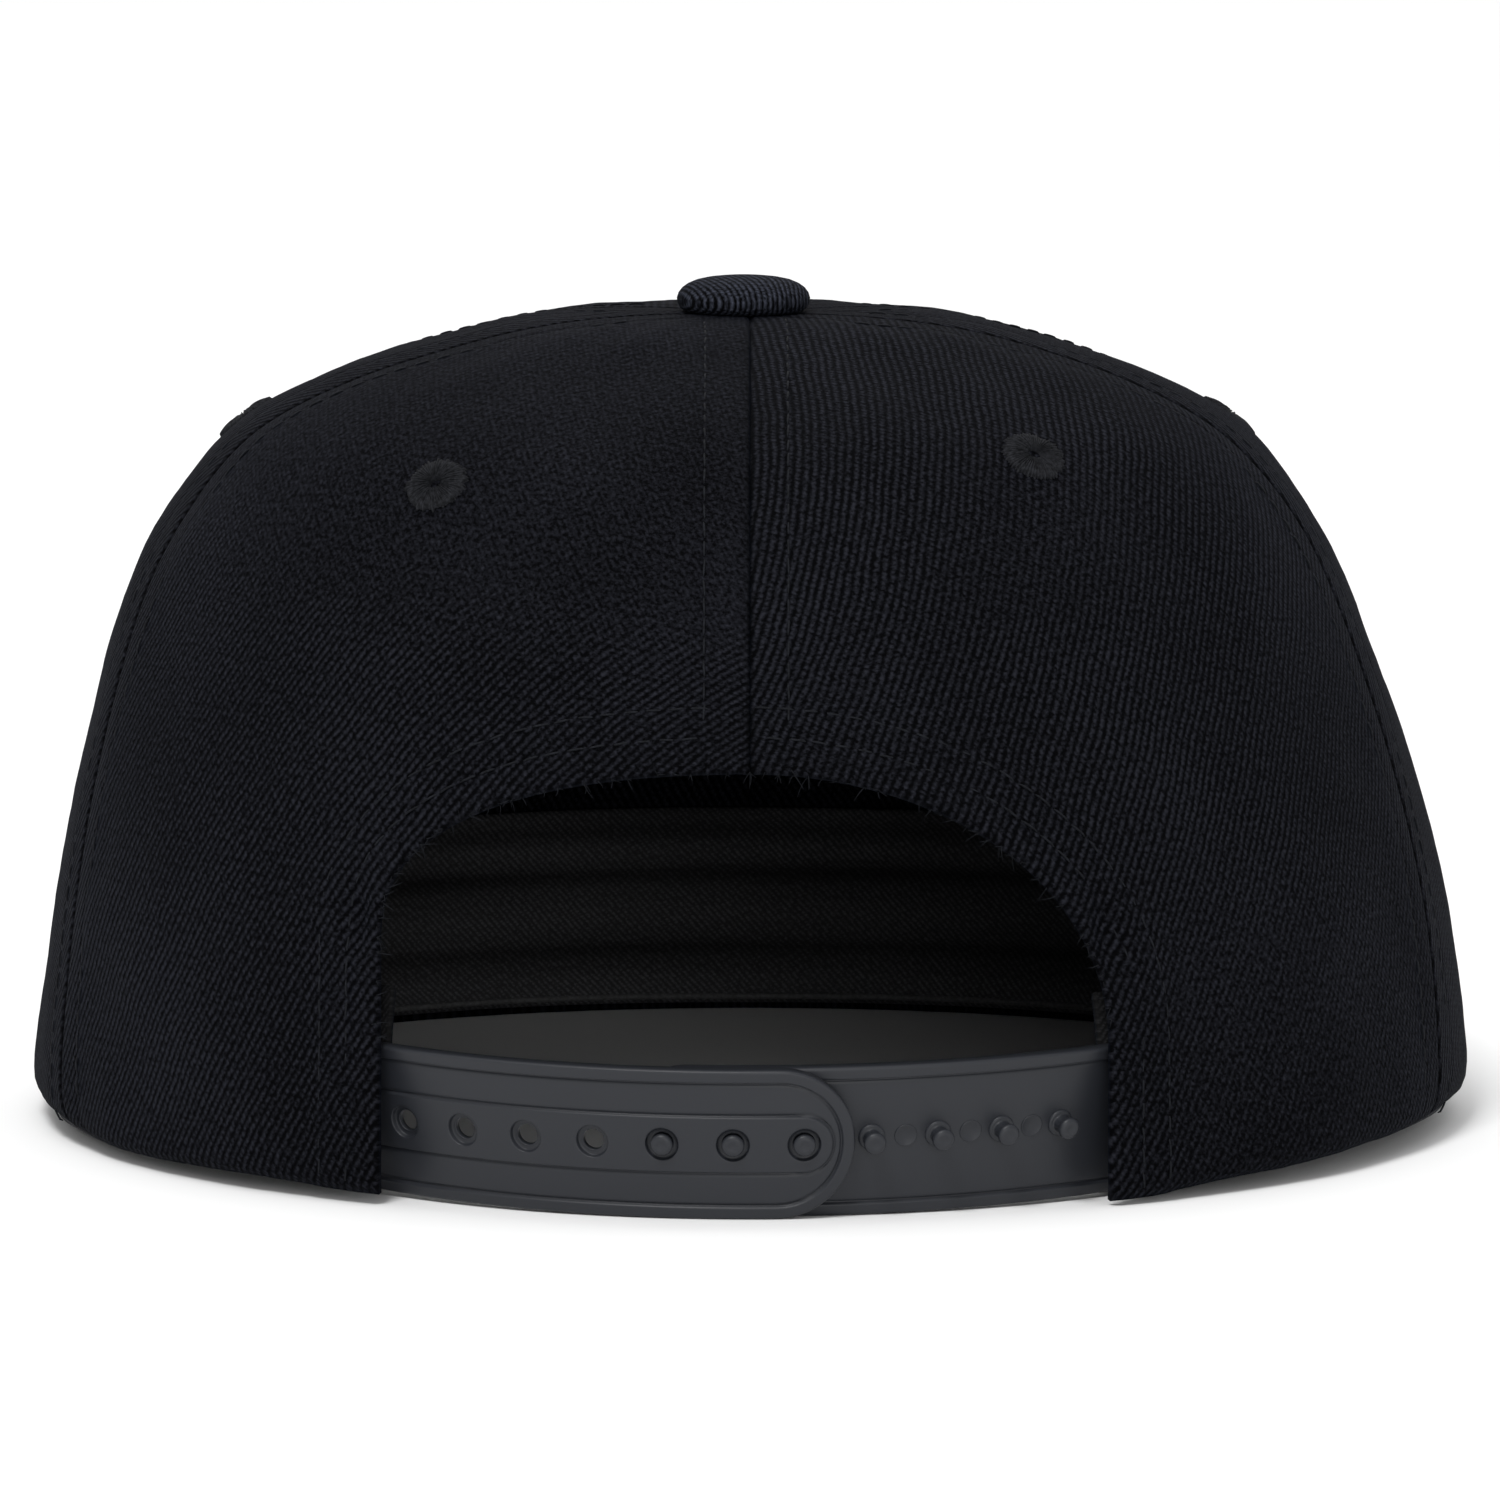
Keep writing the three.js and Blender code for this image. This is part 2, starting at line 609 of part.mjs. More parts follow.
// How deep under the crown's surface the back of a strap lies, at a place along its root.
function strapBackDepth(side, x, up) {
  const arc = side < 0 ? leftArc : rightArc;
  const onCrown = crownSurface(rimAngle(x), up);
  const half = STRAP_HEIGHT / 2;
  const z = clamp(onCrown.z, strapMiddle(x) - half, strapMiddle(x) + half);
  const back = arcPoint(arc, x, z, STRAP_THICKNESS);
  return onCrown.sub(back).dot(crownNormal(rimAngle(x), up));
}

// The sweatband lies against the panels and, at its two ends, against the backs of the straps.
function sweatbandDepth(angle, up) {
  const side = Math.sign(angle);
  const x = RINGS[1].side * CROWN_HALF_WIDTH * Math.sin(Math.min(Math.abs(angle), Math.PI / 2));
  const root = Math.abs(archEdge(side)) + STRAP_ROOT;
  const onRoot = strapBackDepth(side, side * Math.min(x, root), up) + 2 * STRAP_TUCK;
  const leaving = root + SWEATBAND_LAP;
  const share = THREE.MathUtils.smoothstep(x, leaving, leaving + SWEATBAND_TURN);
  return THREE.MathUtils.lerp(onRoot, PANEL_THICKNESS + CLEARANCE, share);
}

// The angle at which the sweatband ends, so that a little of it shows beside the arch.
function sweatbandEnd(side) {
  const shows = archEdge(side) - side * SWEATBAND_END_SHOWS;
  const up = upAtHeight(SWEATBAND_HEIGHT / CROWN_HEIGHT);
  let angle = rimAngle(shows);
  for (let i = 0; i < SEARCH_STEPS; i += 1) {
    const end = crownPoint(angle, up, sweatbandDepth(angle, up) + SWEATBAND_THICKNESS);
    angle += (shows - end.x) / CROWN_HALF_WIDTH;
  }
  return angle;
}

function sweatbandGeometry() {
  const ends = [-1, 1].map(sweatbandEnd);
  const travel = 2 * Math.PI - (ends[1] - ends[0]);
  const foot = upAtHeight(CLEARANCE / CROWN_HEIGHT);
  const head = upAtHeight((CLEARANCE + SWEATBAND_HEIGHT) / CROWN_HEIGHT);
  const face = (extra) => (across, up) => {
    const angle = ends[1] + travel * across;
    const signed = angle > Math.PI ? angle - 2 * Math.PI : angle;
    const level = THREE.MathUtils.lerp(foot, head, up);
    return crownPoint(signed, level, sweatbandDepth(signed, level) + extra);
  };
  return wall(BAND_COLUMNS, BAND_ROWS, face(0), face(SWEATBAND_THICKNESS));
}

const cap = new THREE.Group();

function addPiece(name, geometry, material) {
  const mesh = new THREE.Mesh(geometry, material);
  mesh.name = name;
  cap.add(mesh);
}

for (const { panel } of EYELETS) {
  addPiece(`panel_${panel}`, panelGeometry(panel), twill);
  addPiece(`eyelet_${panel}`, eyeletGeometry(panel), thread);
}
addPiece("button", buttonGeometry(), twill);
addPiece("visor", visorGeometry(), twill);
addPiece("sweatband", sweatbandGeometry(), bandTwill);
addPiece("strap_left", strapLeftGeometry(), plastic);
addPiece("strap_right", strapRightGeometry(), plastic);

// The origin is under the middle of the whole cap, on the surface that it rests on.
const box = new THREE.Box3().setFromObject(cap);
const middle = box.getCenter(new THREE.Vector3());
cap.position.set(-middle.x, -middle.y, -box.min.z);

export default cap;
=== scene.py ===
# A black twill snapback cap, seen from behind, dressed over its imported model.
# Lengths are metres. +Z is up, +Y points out over the visor and +X is the wearer's right.
import math

import bmesh
import bpy
import numpy as np
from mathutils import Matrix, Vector, noise


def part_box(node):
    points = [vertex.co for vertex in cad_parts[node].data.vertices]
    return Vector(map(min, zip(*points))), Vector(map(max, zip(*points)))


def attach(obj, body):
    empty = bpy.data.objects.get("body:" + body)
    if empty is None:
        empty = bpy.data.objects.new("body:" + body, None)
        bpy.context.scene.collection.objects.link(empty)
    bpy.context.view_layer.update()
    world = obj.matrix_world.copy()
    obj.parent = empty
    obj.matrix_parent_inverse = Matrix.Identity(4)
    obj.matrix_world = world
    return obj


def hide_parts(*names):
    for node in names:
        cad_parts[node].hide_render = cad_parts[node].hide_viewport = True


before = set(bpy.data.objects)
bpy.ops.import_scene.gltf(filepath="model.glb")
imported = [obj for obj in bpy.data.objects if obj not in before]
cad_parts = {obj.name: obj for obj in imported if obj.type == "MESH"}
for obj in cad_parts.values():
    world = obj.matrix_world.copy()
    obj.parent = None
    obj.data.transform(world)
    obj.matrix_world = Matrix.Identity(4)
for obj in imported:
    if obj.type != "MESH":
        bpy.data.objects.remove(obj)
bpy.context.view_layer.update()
MM = 0.001

# The button sits on the crown's axis, which places everything else.
button_low, button_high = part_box("button")
AXIS_Y = (button_low[1] + button_high[1]) / 2

# Camera: behind the cap, far off with a long lens, and looking a little down on it.
CAMERA_DISTANCE = 1.5
CAMERA_HEIGHT = 0.2529
AIM_HEIGHT = 0.0515
LENS_MM = 256.4
SENSOR_MM = 36
camera_data = bpy.data.cameras.new("camera")
camera_data.lens = LENS_MM
camera_data.sensor_width = SENSOR_MM
camera = bpy.data.objects.new("camera", camera_data)
bpy.context.scene.collection.objects.link(camera)
camera.location = (0, AXIS_Y - CAMERA_DISTANCE, CAMERA_HEIGHT)
sight = Vector((0, AXIS_Y, AIM_HEIGHT)) - camera.location
camera.rotation_euler = sight.to_track_quat("-Z", "Y").to_euler()
bpy.context.scene.camera = camera
bpy.context.scene.view_settings.view_transform = "Standard"
bpy.context.scene.view_settings.look = "None"


# Studio: a pale floor in even white light. A soft box high on the left shapes the crown, a low one fills
# the hollow under the arch, and a broad one lights the floor behind.
def linear(hex_colour):
    """An sRGB hex colour as the linear colour that a shader takes."""
    channels = [int(hex_colour[i:i + 2], 16) / 255 for i in (1, 3, 5)]
    bent = [c / 12.92 if c <= 0.04045 else ((c + 0.055) / 1.055) ** 2.4 for c in channels]
    return (*bent, 1.0)


def add_node(material, kind, settings=None, links=None):
    """A shader node with its settings, by name or by socket, and the outputs that feed its sockets."""
    node = material.node_tree.nodes.new(kind)
    for key, value in (settings or {}).items():
        if isinstance(key, str) and key not in node.inputs:
            setattr(node, key, value)
        else:
            node.inputs[key].default_value = value
    for key, source in (links or {}).items():
        material.node_tree.links.new(source, node.inputs[key])
    return node


def blank_material(name):
    material = bpy.data.materials.new(name)
    material.use_nodes = True
    material.node_tree.nodes.clear()
    return material


# Painted board, matt, so that it takes a soft shadow and no reflection.
studio_board = blank_material("studio_board")
board_shader = add_node(studio_board, "ShaderNodeBsdfDiffuse", {"Color": linear("#f3f3f3")})
add_node(studio_board, "ShaderNodeOutputMaterial", links={"Surface": board_shader.outputs[0]})
FLOOR_REACH = 8
bpy.ops.mesh.primitive_plane_add(size=2 * FLOOR_REACH, location=(0, 0, 0))
floor = bpy.context.object
floor.name = "floor"
floor.data.materials.append(studio_board)

WORLD_STRENGTH = 0.6
world = bpy.data.worlds.new("studio")
world.use_nodes = True
world.node_tree.nodes["Background"].inputs["Color"].default_value = linear("#ffffff")
world.node_tree.nodes["Background"].inputs["Strength"].default_value = WORLD_STRENGTH
bpy.context.scene.world = world

# Each row is a soft box: where it stands, what it faces, its two sides in metres and its power in watts.
SOFT_BOXES = [
    {"name": "key", "place": (-0.45, -1.25, 1.9), "faces": (0, AXIS_Y, 0.05),
     "wide": 0.6, "deep": 0.6, "watts": 29.0},
    {"name": "overhead", "place": (0, -0.3, 1.6), "faces": (0, AXIS_Y, 0.05),
     "wide": 1.6, "deep": 1.2, "watts": 2.5},
    {"name": "fill", "place": (0.4, -2.2, 0.4), "faces": (0, AXIS_Y, 0.03),
     "wide": 1.0, "deep": 0.7, "watts": 9.0},
    {"name": "backdrop", "place": (0, 2.3, 2.3), "faces": (0, 2.3, 0),
     "wide": 5.0, "deep": 4.0, "watts": 53.0},
]
for box in SOFT_BOXES:
    light_data = bpy.data.lights.new(box["name"], "AREA")
    light_data.shape = "RECTANGLE"
    light_data.size = box["wide"]
    light_data.size_y = box["deep"]
    light_data.energy = box["watts"]
    light = bpy.data.objects.new(box["name"], light_data)
    light.location = box["place"]
    light.rotation_euler = (Vector(box["faces"]) - light.location).to_track_quat("-Z", "Y").to_euler()
    bpy.context.scene.collection.objects.link(light)

# The crown: six gores of wool-like twill over a stiffener, joined by seams that sink between them. The
# two rear gores are cut out in an arch over the strap, with a hem turned under and stitched down.
CROWN_HALF_WIDTH = 102 * MM
CROWN_HALF_LENGTH = 93 * MM
CROWN_HEIGHT = 114 * MM
PANEL_THICKNESS = 1.6 * MM
PANEL_PUFF = 0.9 * MM
RIM_STAND_OFF = 2.9 * MM
ARCH_HALF_WIDTH = 50 * MM
ARCH_TOP = 59.5 * MM

# Each row is a ring of the crown, from its rim up to the button: height, back, side, front and lean.
RINGS = np.array([
    (0.0, 0.98, 0.985, 0.99, 0.0),
    (0.05, 0.991, 0.994, 1.0, 0.0),
    (0.24, 0.971, 0.964, 0.985, 0.0),
    (0.44, 0.912, 0.914, 0.95, -0.007),
    (0.64, 0.8, 0.845, 0.895, -0.015),
    (0.76, 0.705, 0.777, 0.84, -0.015),
    (0.855, 0.596, 0.685, 0.76, -0.018),
    (0.92, 0.462, 0.552, 0.647, -0.015),
    (0.967, 0.312, 0.393, 0.5, -0.009),
    (0.991, 0.207, 0.268, 0.31, -0.007),
    (0.999, 0.113, 0.143, 0.16, -0.008),
    (0.997, 0.033, 0.033, 0.033, -0.009),
])

# The rim's height off the floor, as shares of RIM_STAND_OFF: degrees from the back, left and right.
RIM_LIFT = np.array([
    (0, 0.25, 0.05),
    (30, 0.4, 0.13),
    (45, 0.63, 0.66),
    (60, 0.52, 1.02),
    (75, 0.9, 1.3),
    (95, 1.1, 1.3),
    (115, 1.0, 1.0),
    (180, 1.0, 1.0),
])

# The rear and front seam of each side gore, in degrees from the back, evenly spaced up the crown.
SEAMS = np.array([(70, 121), (76, 121), (78, 120.5), (75.5, 120), (62, 120)])

# The arch's halves: which side, its reach and spring as shares of its size, and its squareness.
ARCH_SIDES = {-1: (1.01, 0.61, 2.3), 1: (0.98, 0.38, 2.0)}


def spline(points, share):
    """The value at a share of the way along evenly spaced rows, on a smooth curve through them."""
    last = len(points) - 1
    place = last * np.clip(share, 0, 1)
    knot = np.minimum(np.floor(place).astype(int), last)
    within = (place - knot)[..., None] if points.ndim > 1 else place - knot
    before = points[np.maximum(knot - 1, 0)]
    start = points[knot]
    end = points[np.minimum(knot + 1, last)]
    after = points[np.minimum(knot + 2, last)]
    pull_start = (end - before) / 2
    pull_end = (after - start) / 2
    cubic = 2 * start - 2 * end + pull_start + pull_end
    square = 3 * end - 3 * start - 2 * pull_start - pull_end
    return cubic * within ** 3 + square * within ** 2 + pull_start * within + start


def eased(table, place, column):
    """A column's value at a place in the first column, easing from row to row."""
    rows = table[:, 0]
    held = np.clip(place, rows[0], rows[-1])
    index = np.clip(np.searchsorted(rows, held, side="right") - 1, 0, len(rows) - 2)
    share = (held - rows[index]) / (rows[index + 1] - rows[index])
    share = share * share * (3 - 2 * share)
    return table[index, column] * (1 - share) + table[index + 1, column] * share


def share_of_panel(angle, up):
    """How far across its gore a place lies, from 0 at one seam to 1 at the other."""
    degrees = np.degrees(np.abs(angle))
    rear = spline(SEAMS[:, 0], up)
    front = spline(SEAMS[:, 1], up)
    in_back = degrees / rear
    in_side = (degrees - rear) / (front - rear)
    in_front = (degrees - front) / (180 - front)
    return np.where(degrees < rear, in_back, np.where(degrees < front, in_side, in_front))


def crown_surface(angle, up):
    """The crown's face at an angle from the back and a share of the way up, without seams and dents."""
    angle = np.asarray(angle, float)
    up = np.clip(np.asarray(up, float), 0, 1)
    height, back, side, front, lean = [spline(RINGS[:, i], up) for i in range(5)]
    cosine = np.cos(angle)
    reach = np.maximum(cosine, 0) ** 2 * back + np.sin(angle) ** 2 * side
    reach = reach + np.maximum(-cosine, 0) ** 2 * front
    puff = PANEL_PUFF * np.sin(np.pi * share_of_panel(angle, up)) * np.sin(np.pi * up)
    degrees = np.degrees(np.abs(angle))
    lift = RIM_STAND_OFF * np.where(angle < 0, eased(RIM_LIFT, degrees, 1), eased(RIM_LIFT, degrees, 2))
    x = (CROWN_HALF_WIDTH * reach + puff) * np.sin(angle) + lean * CROWN_HALF_WIDTH
    y = AXIS_Y - (CROWN_HALF_LENGTH * reach + puff) * cosine
    z = height * CROWN_HEIGHT + lift * (1 - height)
    return np.stack([x, y, z], -1)


def crown_frame(angle, up):
    """The directions across, up and out of the crown's face."""
    step = 1e-3
    across = crown_surface(angle + step, up) - crown_surface(angle - step, up)
    along = crown_surface(angle, np.minimum(up + step, 1)) - crown_surface(angle, np.maximum(up - step, 0))
    across /= np.linalg.norm(across, axis=-1, keepdims=True)
    normal = np.cross(across, along)
    normal /= np.linalg.norm(normal, axis=-1, keepdims=True)
    return across, np.cross(normal, across), normal


def crown_point(angle, up, depth):
    """A place at a depth under the crown's face."""
    normal = crown_frame(angle, up)[2]
    return crown_surface(angle, up) - normal * np.asarray(depth)[..., None]


def up_at_height(share):
    """The share of the way up the rings at which the crown has this share of its height."""
    levels = np.linspace(0, 1 - 1 / len(RINGS), 2000)
    return np.interp(share, spline(RINGS[:, 0], levels), levels)


def back_seam_angle(up):
    """The angle that keeps the back seam upright although the crown leans a little."""
    return np.arcsin(-spline(RINGS[:, 4], up) / np.maximum(spline(RINGS[:, 1], up), 0.2))


def arch_edge_curve(side, count):
    """The arch's edge on one rear gore as angles and ups, from the rim up to the back seam."""
    reach, spring, squareness = ARCH_SIDES[side]
    reach = reach * ARCH_HALF_WIDTH
    spring = spring * ARCH_TOP
    turn = np.linspace(0, math.pi / 2, count)
    x = reach * np.maximum(np.cos(turn), 0) ** (2 / squareness)
    z = spring + (ARCH_TOP - spring) * np.sin(turn) ** (2 / squareness)
    straight = np.linspace(0, spring, count // 2)[:-1]
    x = np.concatenate([np.full(len(straight), reach), x])
    z = np.concatenate([straight, z])
    up = up_at_height(z / CROWN_HEIGHT)
    angle = np.arcsin(np.clip(x / 0.1, 0, 1))
    for _ in range(20):
        place = crown_surface(side * angle, up)
        angle = np.maximum(angle + (x - side * place[:, 0]) / CROWN_HALF_WIDTH, -0.1)
        up = np.maximum(up + (z - place[:, 2]) / 0.16, 0)
    return angle, up


def resample(columns, count):
    """Points evenly spaced along a curve on the crown, given as rows of (angle, up)."""
    places = crown_surface(columns[:, 0], columns[:, 1])
    run = np.concatenate([[0], np.cumsum(np.linalg.norm(np.diff(places, axis=0), axis=1))])
    wanted = run[-1] * np.linspace(0, 1, count)
    return np.stack([np.interp(wanted, run, columns[:, i]) for i in range(2)], 1)


PANEL_COLUMNS = 64
PANEL_ROWS = 110
ARCH_ROWS = 58
# The two front gores lap by this angle, in radians, so that no light shows through the middle seam.
FRONT_LAP = 1e-3


def panel_grid(kind, side):
    """The angle and up of each grid point of a gore: rows go up, columns run from seam to seam."""
    levels = np.linspace(0, 1, 200)
    rear_seam = np.stack([np.radians(spline(SEAMS[:, 0], levels)), levels], 1)
    front_seam = np.stack([np.radians(spline(SEAMS[:, 1], levels)), levels], 1)
    centre_front = np.stack([np.full(200, math.pi), levels], 1)
    if kind == "back":
        arch_angle, arch_up = arch_edge_curve(side, 60)
        edge = resample(np.stack([arch_angle, arch_up], 1), ARCH_ROWS)
        seam_up = np.linspace(arch_up[-1], 1, 80)
        seam = np.stack([side * back_seam_angle(seam_up), seam_up], 1)
        seam = resample(seam, PANEL_ROWS - len(edge) + 2)
        inner = np.concatenate([edge, seam[1:]])
        outer = resample(rear_seam, PANEL_ROWS + 1)
    elif kind == "side":
        inner = resample(rear_seam, PANEL_ROWS + 1)
        outer = resample(front_seam, PANEL_ROWS + 1)
    else:
        inner = resample(front_seam, PANEL_ROWS + 1)
        outer = resample(centre_front, PANEL_ROWS + 1) + [FRONT_LAP, 0]
    across = (1 - np.cos(np.pi * np.linspace(0, 1, PANEL_COLUMNS + 1))) / 2
    grid = inner[:, None, :] * (1 - across[None, :, None]) + outer[:, None, :] * across[None, :, None]
    return side * grid[..., 0], grid[..., 1]


# How the twill lies on each gore: its middle, in degrees from the back, the roundness of its run across,
# and the height and reach over which the upright wall turns into the dome.
PANEL_MIDDLE = {"back": 38, "side": 98, "front": 150}
FLAT_RADIUS = 100 * MM
WALL_TOP = 35 * MM
DOME_BLEND = 45 * MM


def twill_place(points, kind, side):
    """Where each point of a gore lay in the flat cloth: across and along the gore's middle line."""
    middle = math.radians(side * PANEL_MIDDLE[kind])
    outward = np.array([math.sin(middle), -math.cos(middle)])
    sideways = np.array([math.cos(middle), math.sin(middle)])
    flat = points[..., :2] - np.array([0, AXIS_Y])
    off_middle = flat @ sideways
    along_middle = flat @ outward
    across = FLAT_RADIUS * np.arcsin(np.clip(off_middle / FLAT_RADIUS, -1, 1))
    dome_share = np.clip((points[..., 2] - WALL_TOP) / DOME_BLEND, 0, 1)
    dome_share = dome_share * dome_share * (3 - 2 * dome_share)
    outreach = np.sqrt(along_middle ** 2 + (1 - dome_share) * off_middle ** 2)
    levels = np.linspace(0, 1, 400)
    profile = crown_surface(np.full(400, middle), levels)
    profile_reach = (profile[:, :2] - np.array([0, AXIS_Y])) @ outward
    run = np.concatenate([[0], np.cumsum(np.linalg.norm(np.diff(profile, axis=0), axis=1))])
    profile_turn = np.arctan2(profile[:, 2] - WALL_TOP, np.maximum(profile_reach, 0))
    turn = np.arctan2(points[..., 2] - WALL_TOP, outreach)
    order = np.argsort(profile_turn)
    along = np.interp(turn, profile_turn[order], run[order])
    return np.stack([across, along], -1)


# Soft dents in the gores: degrees from the back, share of the way up, the two spreads and the depth.
DENTS = np.array([
    (-48, 0.36, 15, 0.07, 0.9),
    (-30, 0.44, 14, 0.06, 0.8),
    (-62, 0.62, 16, 0.1, -0.5),
    (-20, 0.66, 12, 0.1, 0.5),
    (-58, 0.12, 16, 0.09, 0.5),
    (24, 0.5, 16, 0.08, 0.7),
    (46, 0.42, 12, 0.12, 0.6),
    (60, 0.55, 12, 0.1, -0.5),
    (40, 0.16, 8, 0.07, 0.9),
    (66, 0.2, 12, 0.1, 0.6),
    (30, 0.72, 14, 0.07, 0.4),
    (100, 0.4, 18, 0.12, 0.5),
    (-104, 0.3, 16, 0.12, 0.5),
    (150, 0.5, 18, 0.12, -0.3),
    (-150, 0.5, 18, 0.12, -0.3),
    (29.8, 0.215, 1.2, 0.022, 1.7),
    (-33, 0.225, 1.1, 0.018, 1.4),
])
RIPPLE_DEPTH = 0.16 * MM
FINE_LUMPS = {"size": 3.2 * MM, "depth": 0.09 * MM}
BROAD_LUMPS = {"size": 13 * MM, "depth": 0.35 * MM}
SEAM_ROLL_WIDTH = 0.9 * MM
SEAM_ROLL_DEPTH = 0.8 * MM
HEM_ROLL_WIDTH = 1.9 * MM
HEM_ROLL_DEPTH = 0.8 * MM
HEM_STEP = 9.6 * MM
HEM_STEP_WIDTH = 1.2 * MM
HEM_STEP_DEPTH = 0.35 * MM
HEM_STEP_FADE = 40 * MM
FLAT_BESIDE_SEAM = 5 * MM
LEAST_WALL = 0.35 * MM


def dent_depth(angle, up):
    """How deep the soft dents and the faint ripple of the cloth go at a place on the crown."""
    degrees = np.degrees(angle)
    total = np.zeros_like(degrees)
    for turn, level, wide, tall, depth in DENTS:
        total += depth * MM * np.exp(-((degrees - turn) / wide) ** 2 - ((up - level) / tall) ** 2)
    ripple = np.sin(degrees * 0.21 + 7 * up) * np.sin(degrees * 0.13 - 11 * up + 1.3)
    return total + RIPPLE_DEPTH * ripple


def lump_depth(places):
    """Small unevenness of the cloth, as wide as a few threads and as wide as a thumb."""
    total = np.zeros(places.shape[:-1])
    for lumps in (FINE_LUMPS, BROAD_LUMPS):
        heights = [noise.noise(Vector(place) / lumps["size"]) for place in places.reshape(-1, 3)]
        total = total + lumps["depth"] * np.array(heights).reshape(places.shape[:-1])
    return total


def roll(distance, width, depth):
    """How far cloth rolls under, as a quarter round, towards an edge at this distance."""
    share = np.clip(1 - distance / width, 0, 1)
    return depth * (1 - np.sqrt(np.maximum(1 - share * share, 0)))


def wall_faces(columns, rows):
    """Faces of a closed wall between an outer and an inner grid of points."""
    per_face = (columns + 1) * (rows + 1)
    row_at, column_at = np.meshgrid(np.arange(rows), np.arange(columns), indexing="ij")
    corner = (row_at * (columns + 1) + column_at).ravel()
    outer = np.stack([corner, corner + 1, corner + columns + 2, corner + columns + 1], 1)
    inner = outer[:, ::-1] + per_face
    low = np.arange(columns)
    high = low + rows * (columns + 1)
    left = np.arange(rows) * (columns + 1)
    right = left + columns
    bottom = np.stack([low + 1, low, low + per_face, low + 1 + per_face], 1)
    top = np.stack([high, high + 1, high + 1 + per_face, high + per_face], 1)
    first = np.stack([left, left + columns + 1, left + columns + 1 + per_face, left + per_face], 1)
    last = np.stack([right + columns + 1, right, right + per_face, right + columns + 1 + per_face], 1)
    return np.concatenate([outer, inner, bottom, top, first, last])


def make_piece(name, points, faces, material, flat=None, marks=None):
    """A mesh object in the frame, with its flat place as UVs and any named values at its points."""
    mesh = bpy.data.meshes.new(name)
    mesh.from_pydata(np.asarray(points).reshape(-1, 3).tolist(), [], [list(map(int, face)) for face in faces])
    if flat is not None:
        corners = np.empty(len(mesh.loops), dtype=np.int32)
        mesh.loops.foreach_get("vertex_index", corners)
        layer = mesh.uv_layers.new(name="flat_cloth")
        layer.data.foreach_set("uv", np.asarray(flat).reshape(-1, 2)[corners].astype(np.float32).ravel())
    for key, values in (marks or {}).items():
        attribute = mesh.attributes.new(key, "FLOAT", "POINT")
        attribute.data.foreach_set("value", np.asarray(values, dtype=np.float32).ravel())
    shell = bmesh.new()
    shell.from_mesh(mesh)
    bmesh.ops.recalc_face_normals(shell, faces=shell.faces)
    shell.to_mesh(mesh)
    shell.free()
    mesh.shade_smooth()
    mesh.materials.append(material)
    piece = bpy.data.objects.new(name, mesh)
    bpy.context.scene.collection.objects.link(piece)
    return piece


def make_wall(name, outer, inner, material, cloth, marks):
    """A closed wall between two grids of points, with the same cloth and marks on both faces."""
    points = np.concatenate([outer.reshape(-1, 3), inner.reshape(-1, 3)])
    faces = wall_faces(outer.shape[1] - 1, outer.shape[0] - 1)
    both = {key: np.concatenate([values, values]) for key, values in marks.items()}
    return make_piece(name, points, faces, material, np.concatenate([cloth, cloth]), both)


def dress(piece, slot, *nodes):
    """The piece rides on the cap's one body and stands for the nodes named. Its slot is not used."""
    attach(piece, "root")
    if nodes:
        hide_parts(*nodes)


# Black wool-like twill, woven with steep diagonal wales and lightly brushed, so that it is matt, shows
# its ribs as fine lines of thread, and takes a soft bluish sheen where it turns away.
WALE_PITCH = 1.13 * MM
GRAIN_PITCH = 0.8 * MM
WALE_TURN = math.radians(30)
CLOTH_RELIEF = 0.22 * MM
STITCH_PULL = 0.35 * MM
# The threads wander by this much over this length. Lint is drawn a little coarser than real fluff so that
# it shows, and the cloth is worn and shaded in patches as wide as two or three fingers.
WANDER_REACH = 1.1 * MM
WANDER_LENGTH = 11.1 * MM
LINT_SIZE = 0.77 * MM
WORN_SIZE = 38.5 * MM
PATCH_SIZE = 31.25 * MM


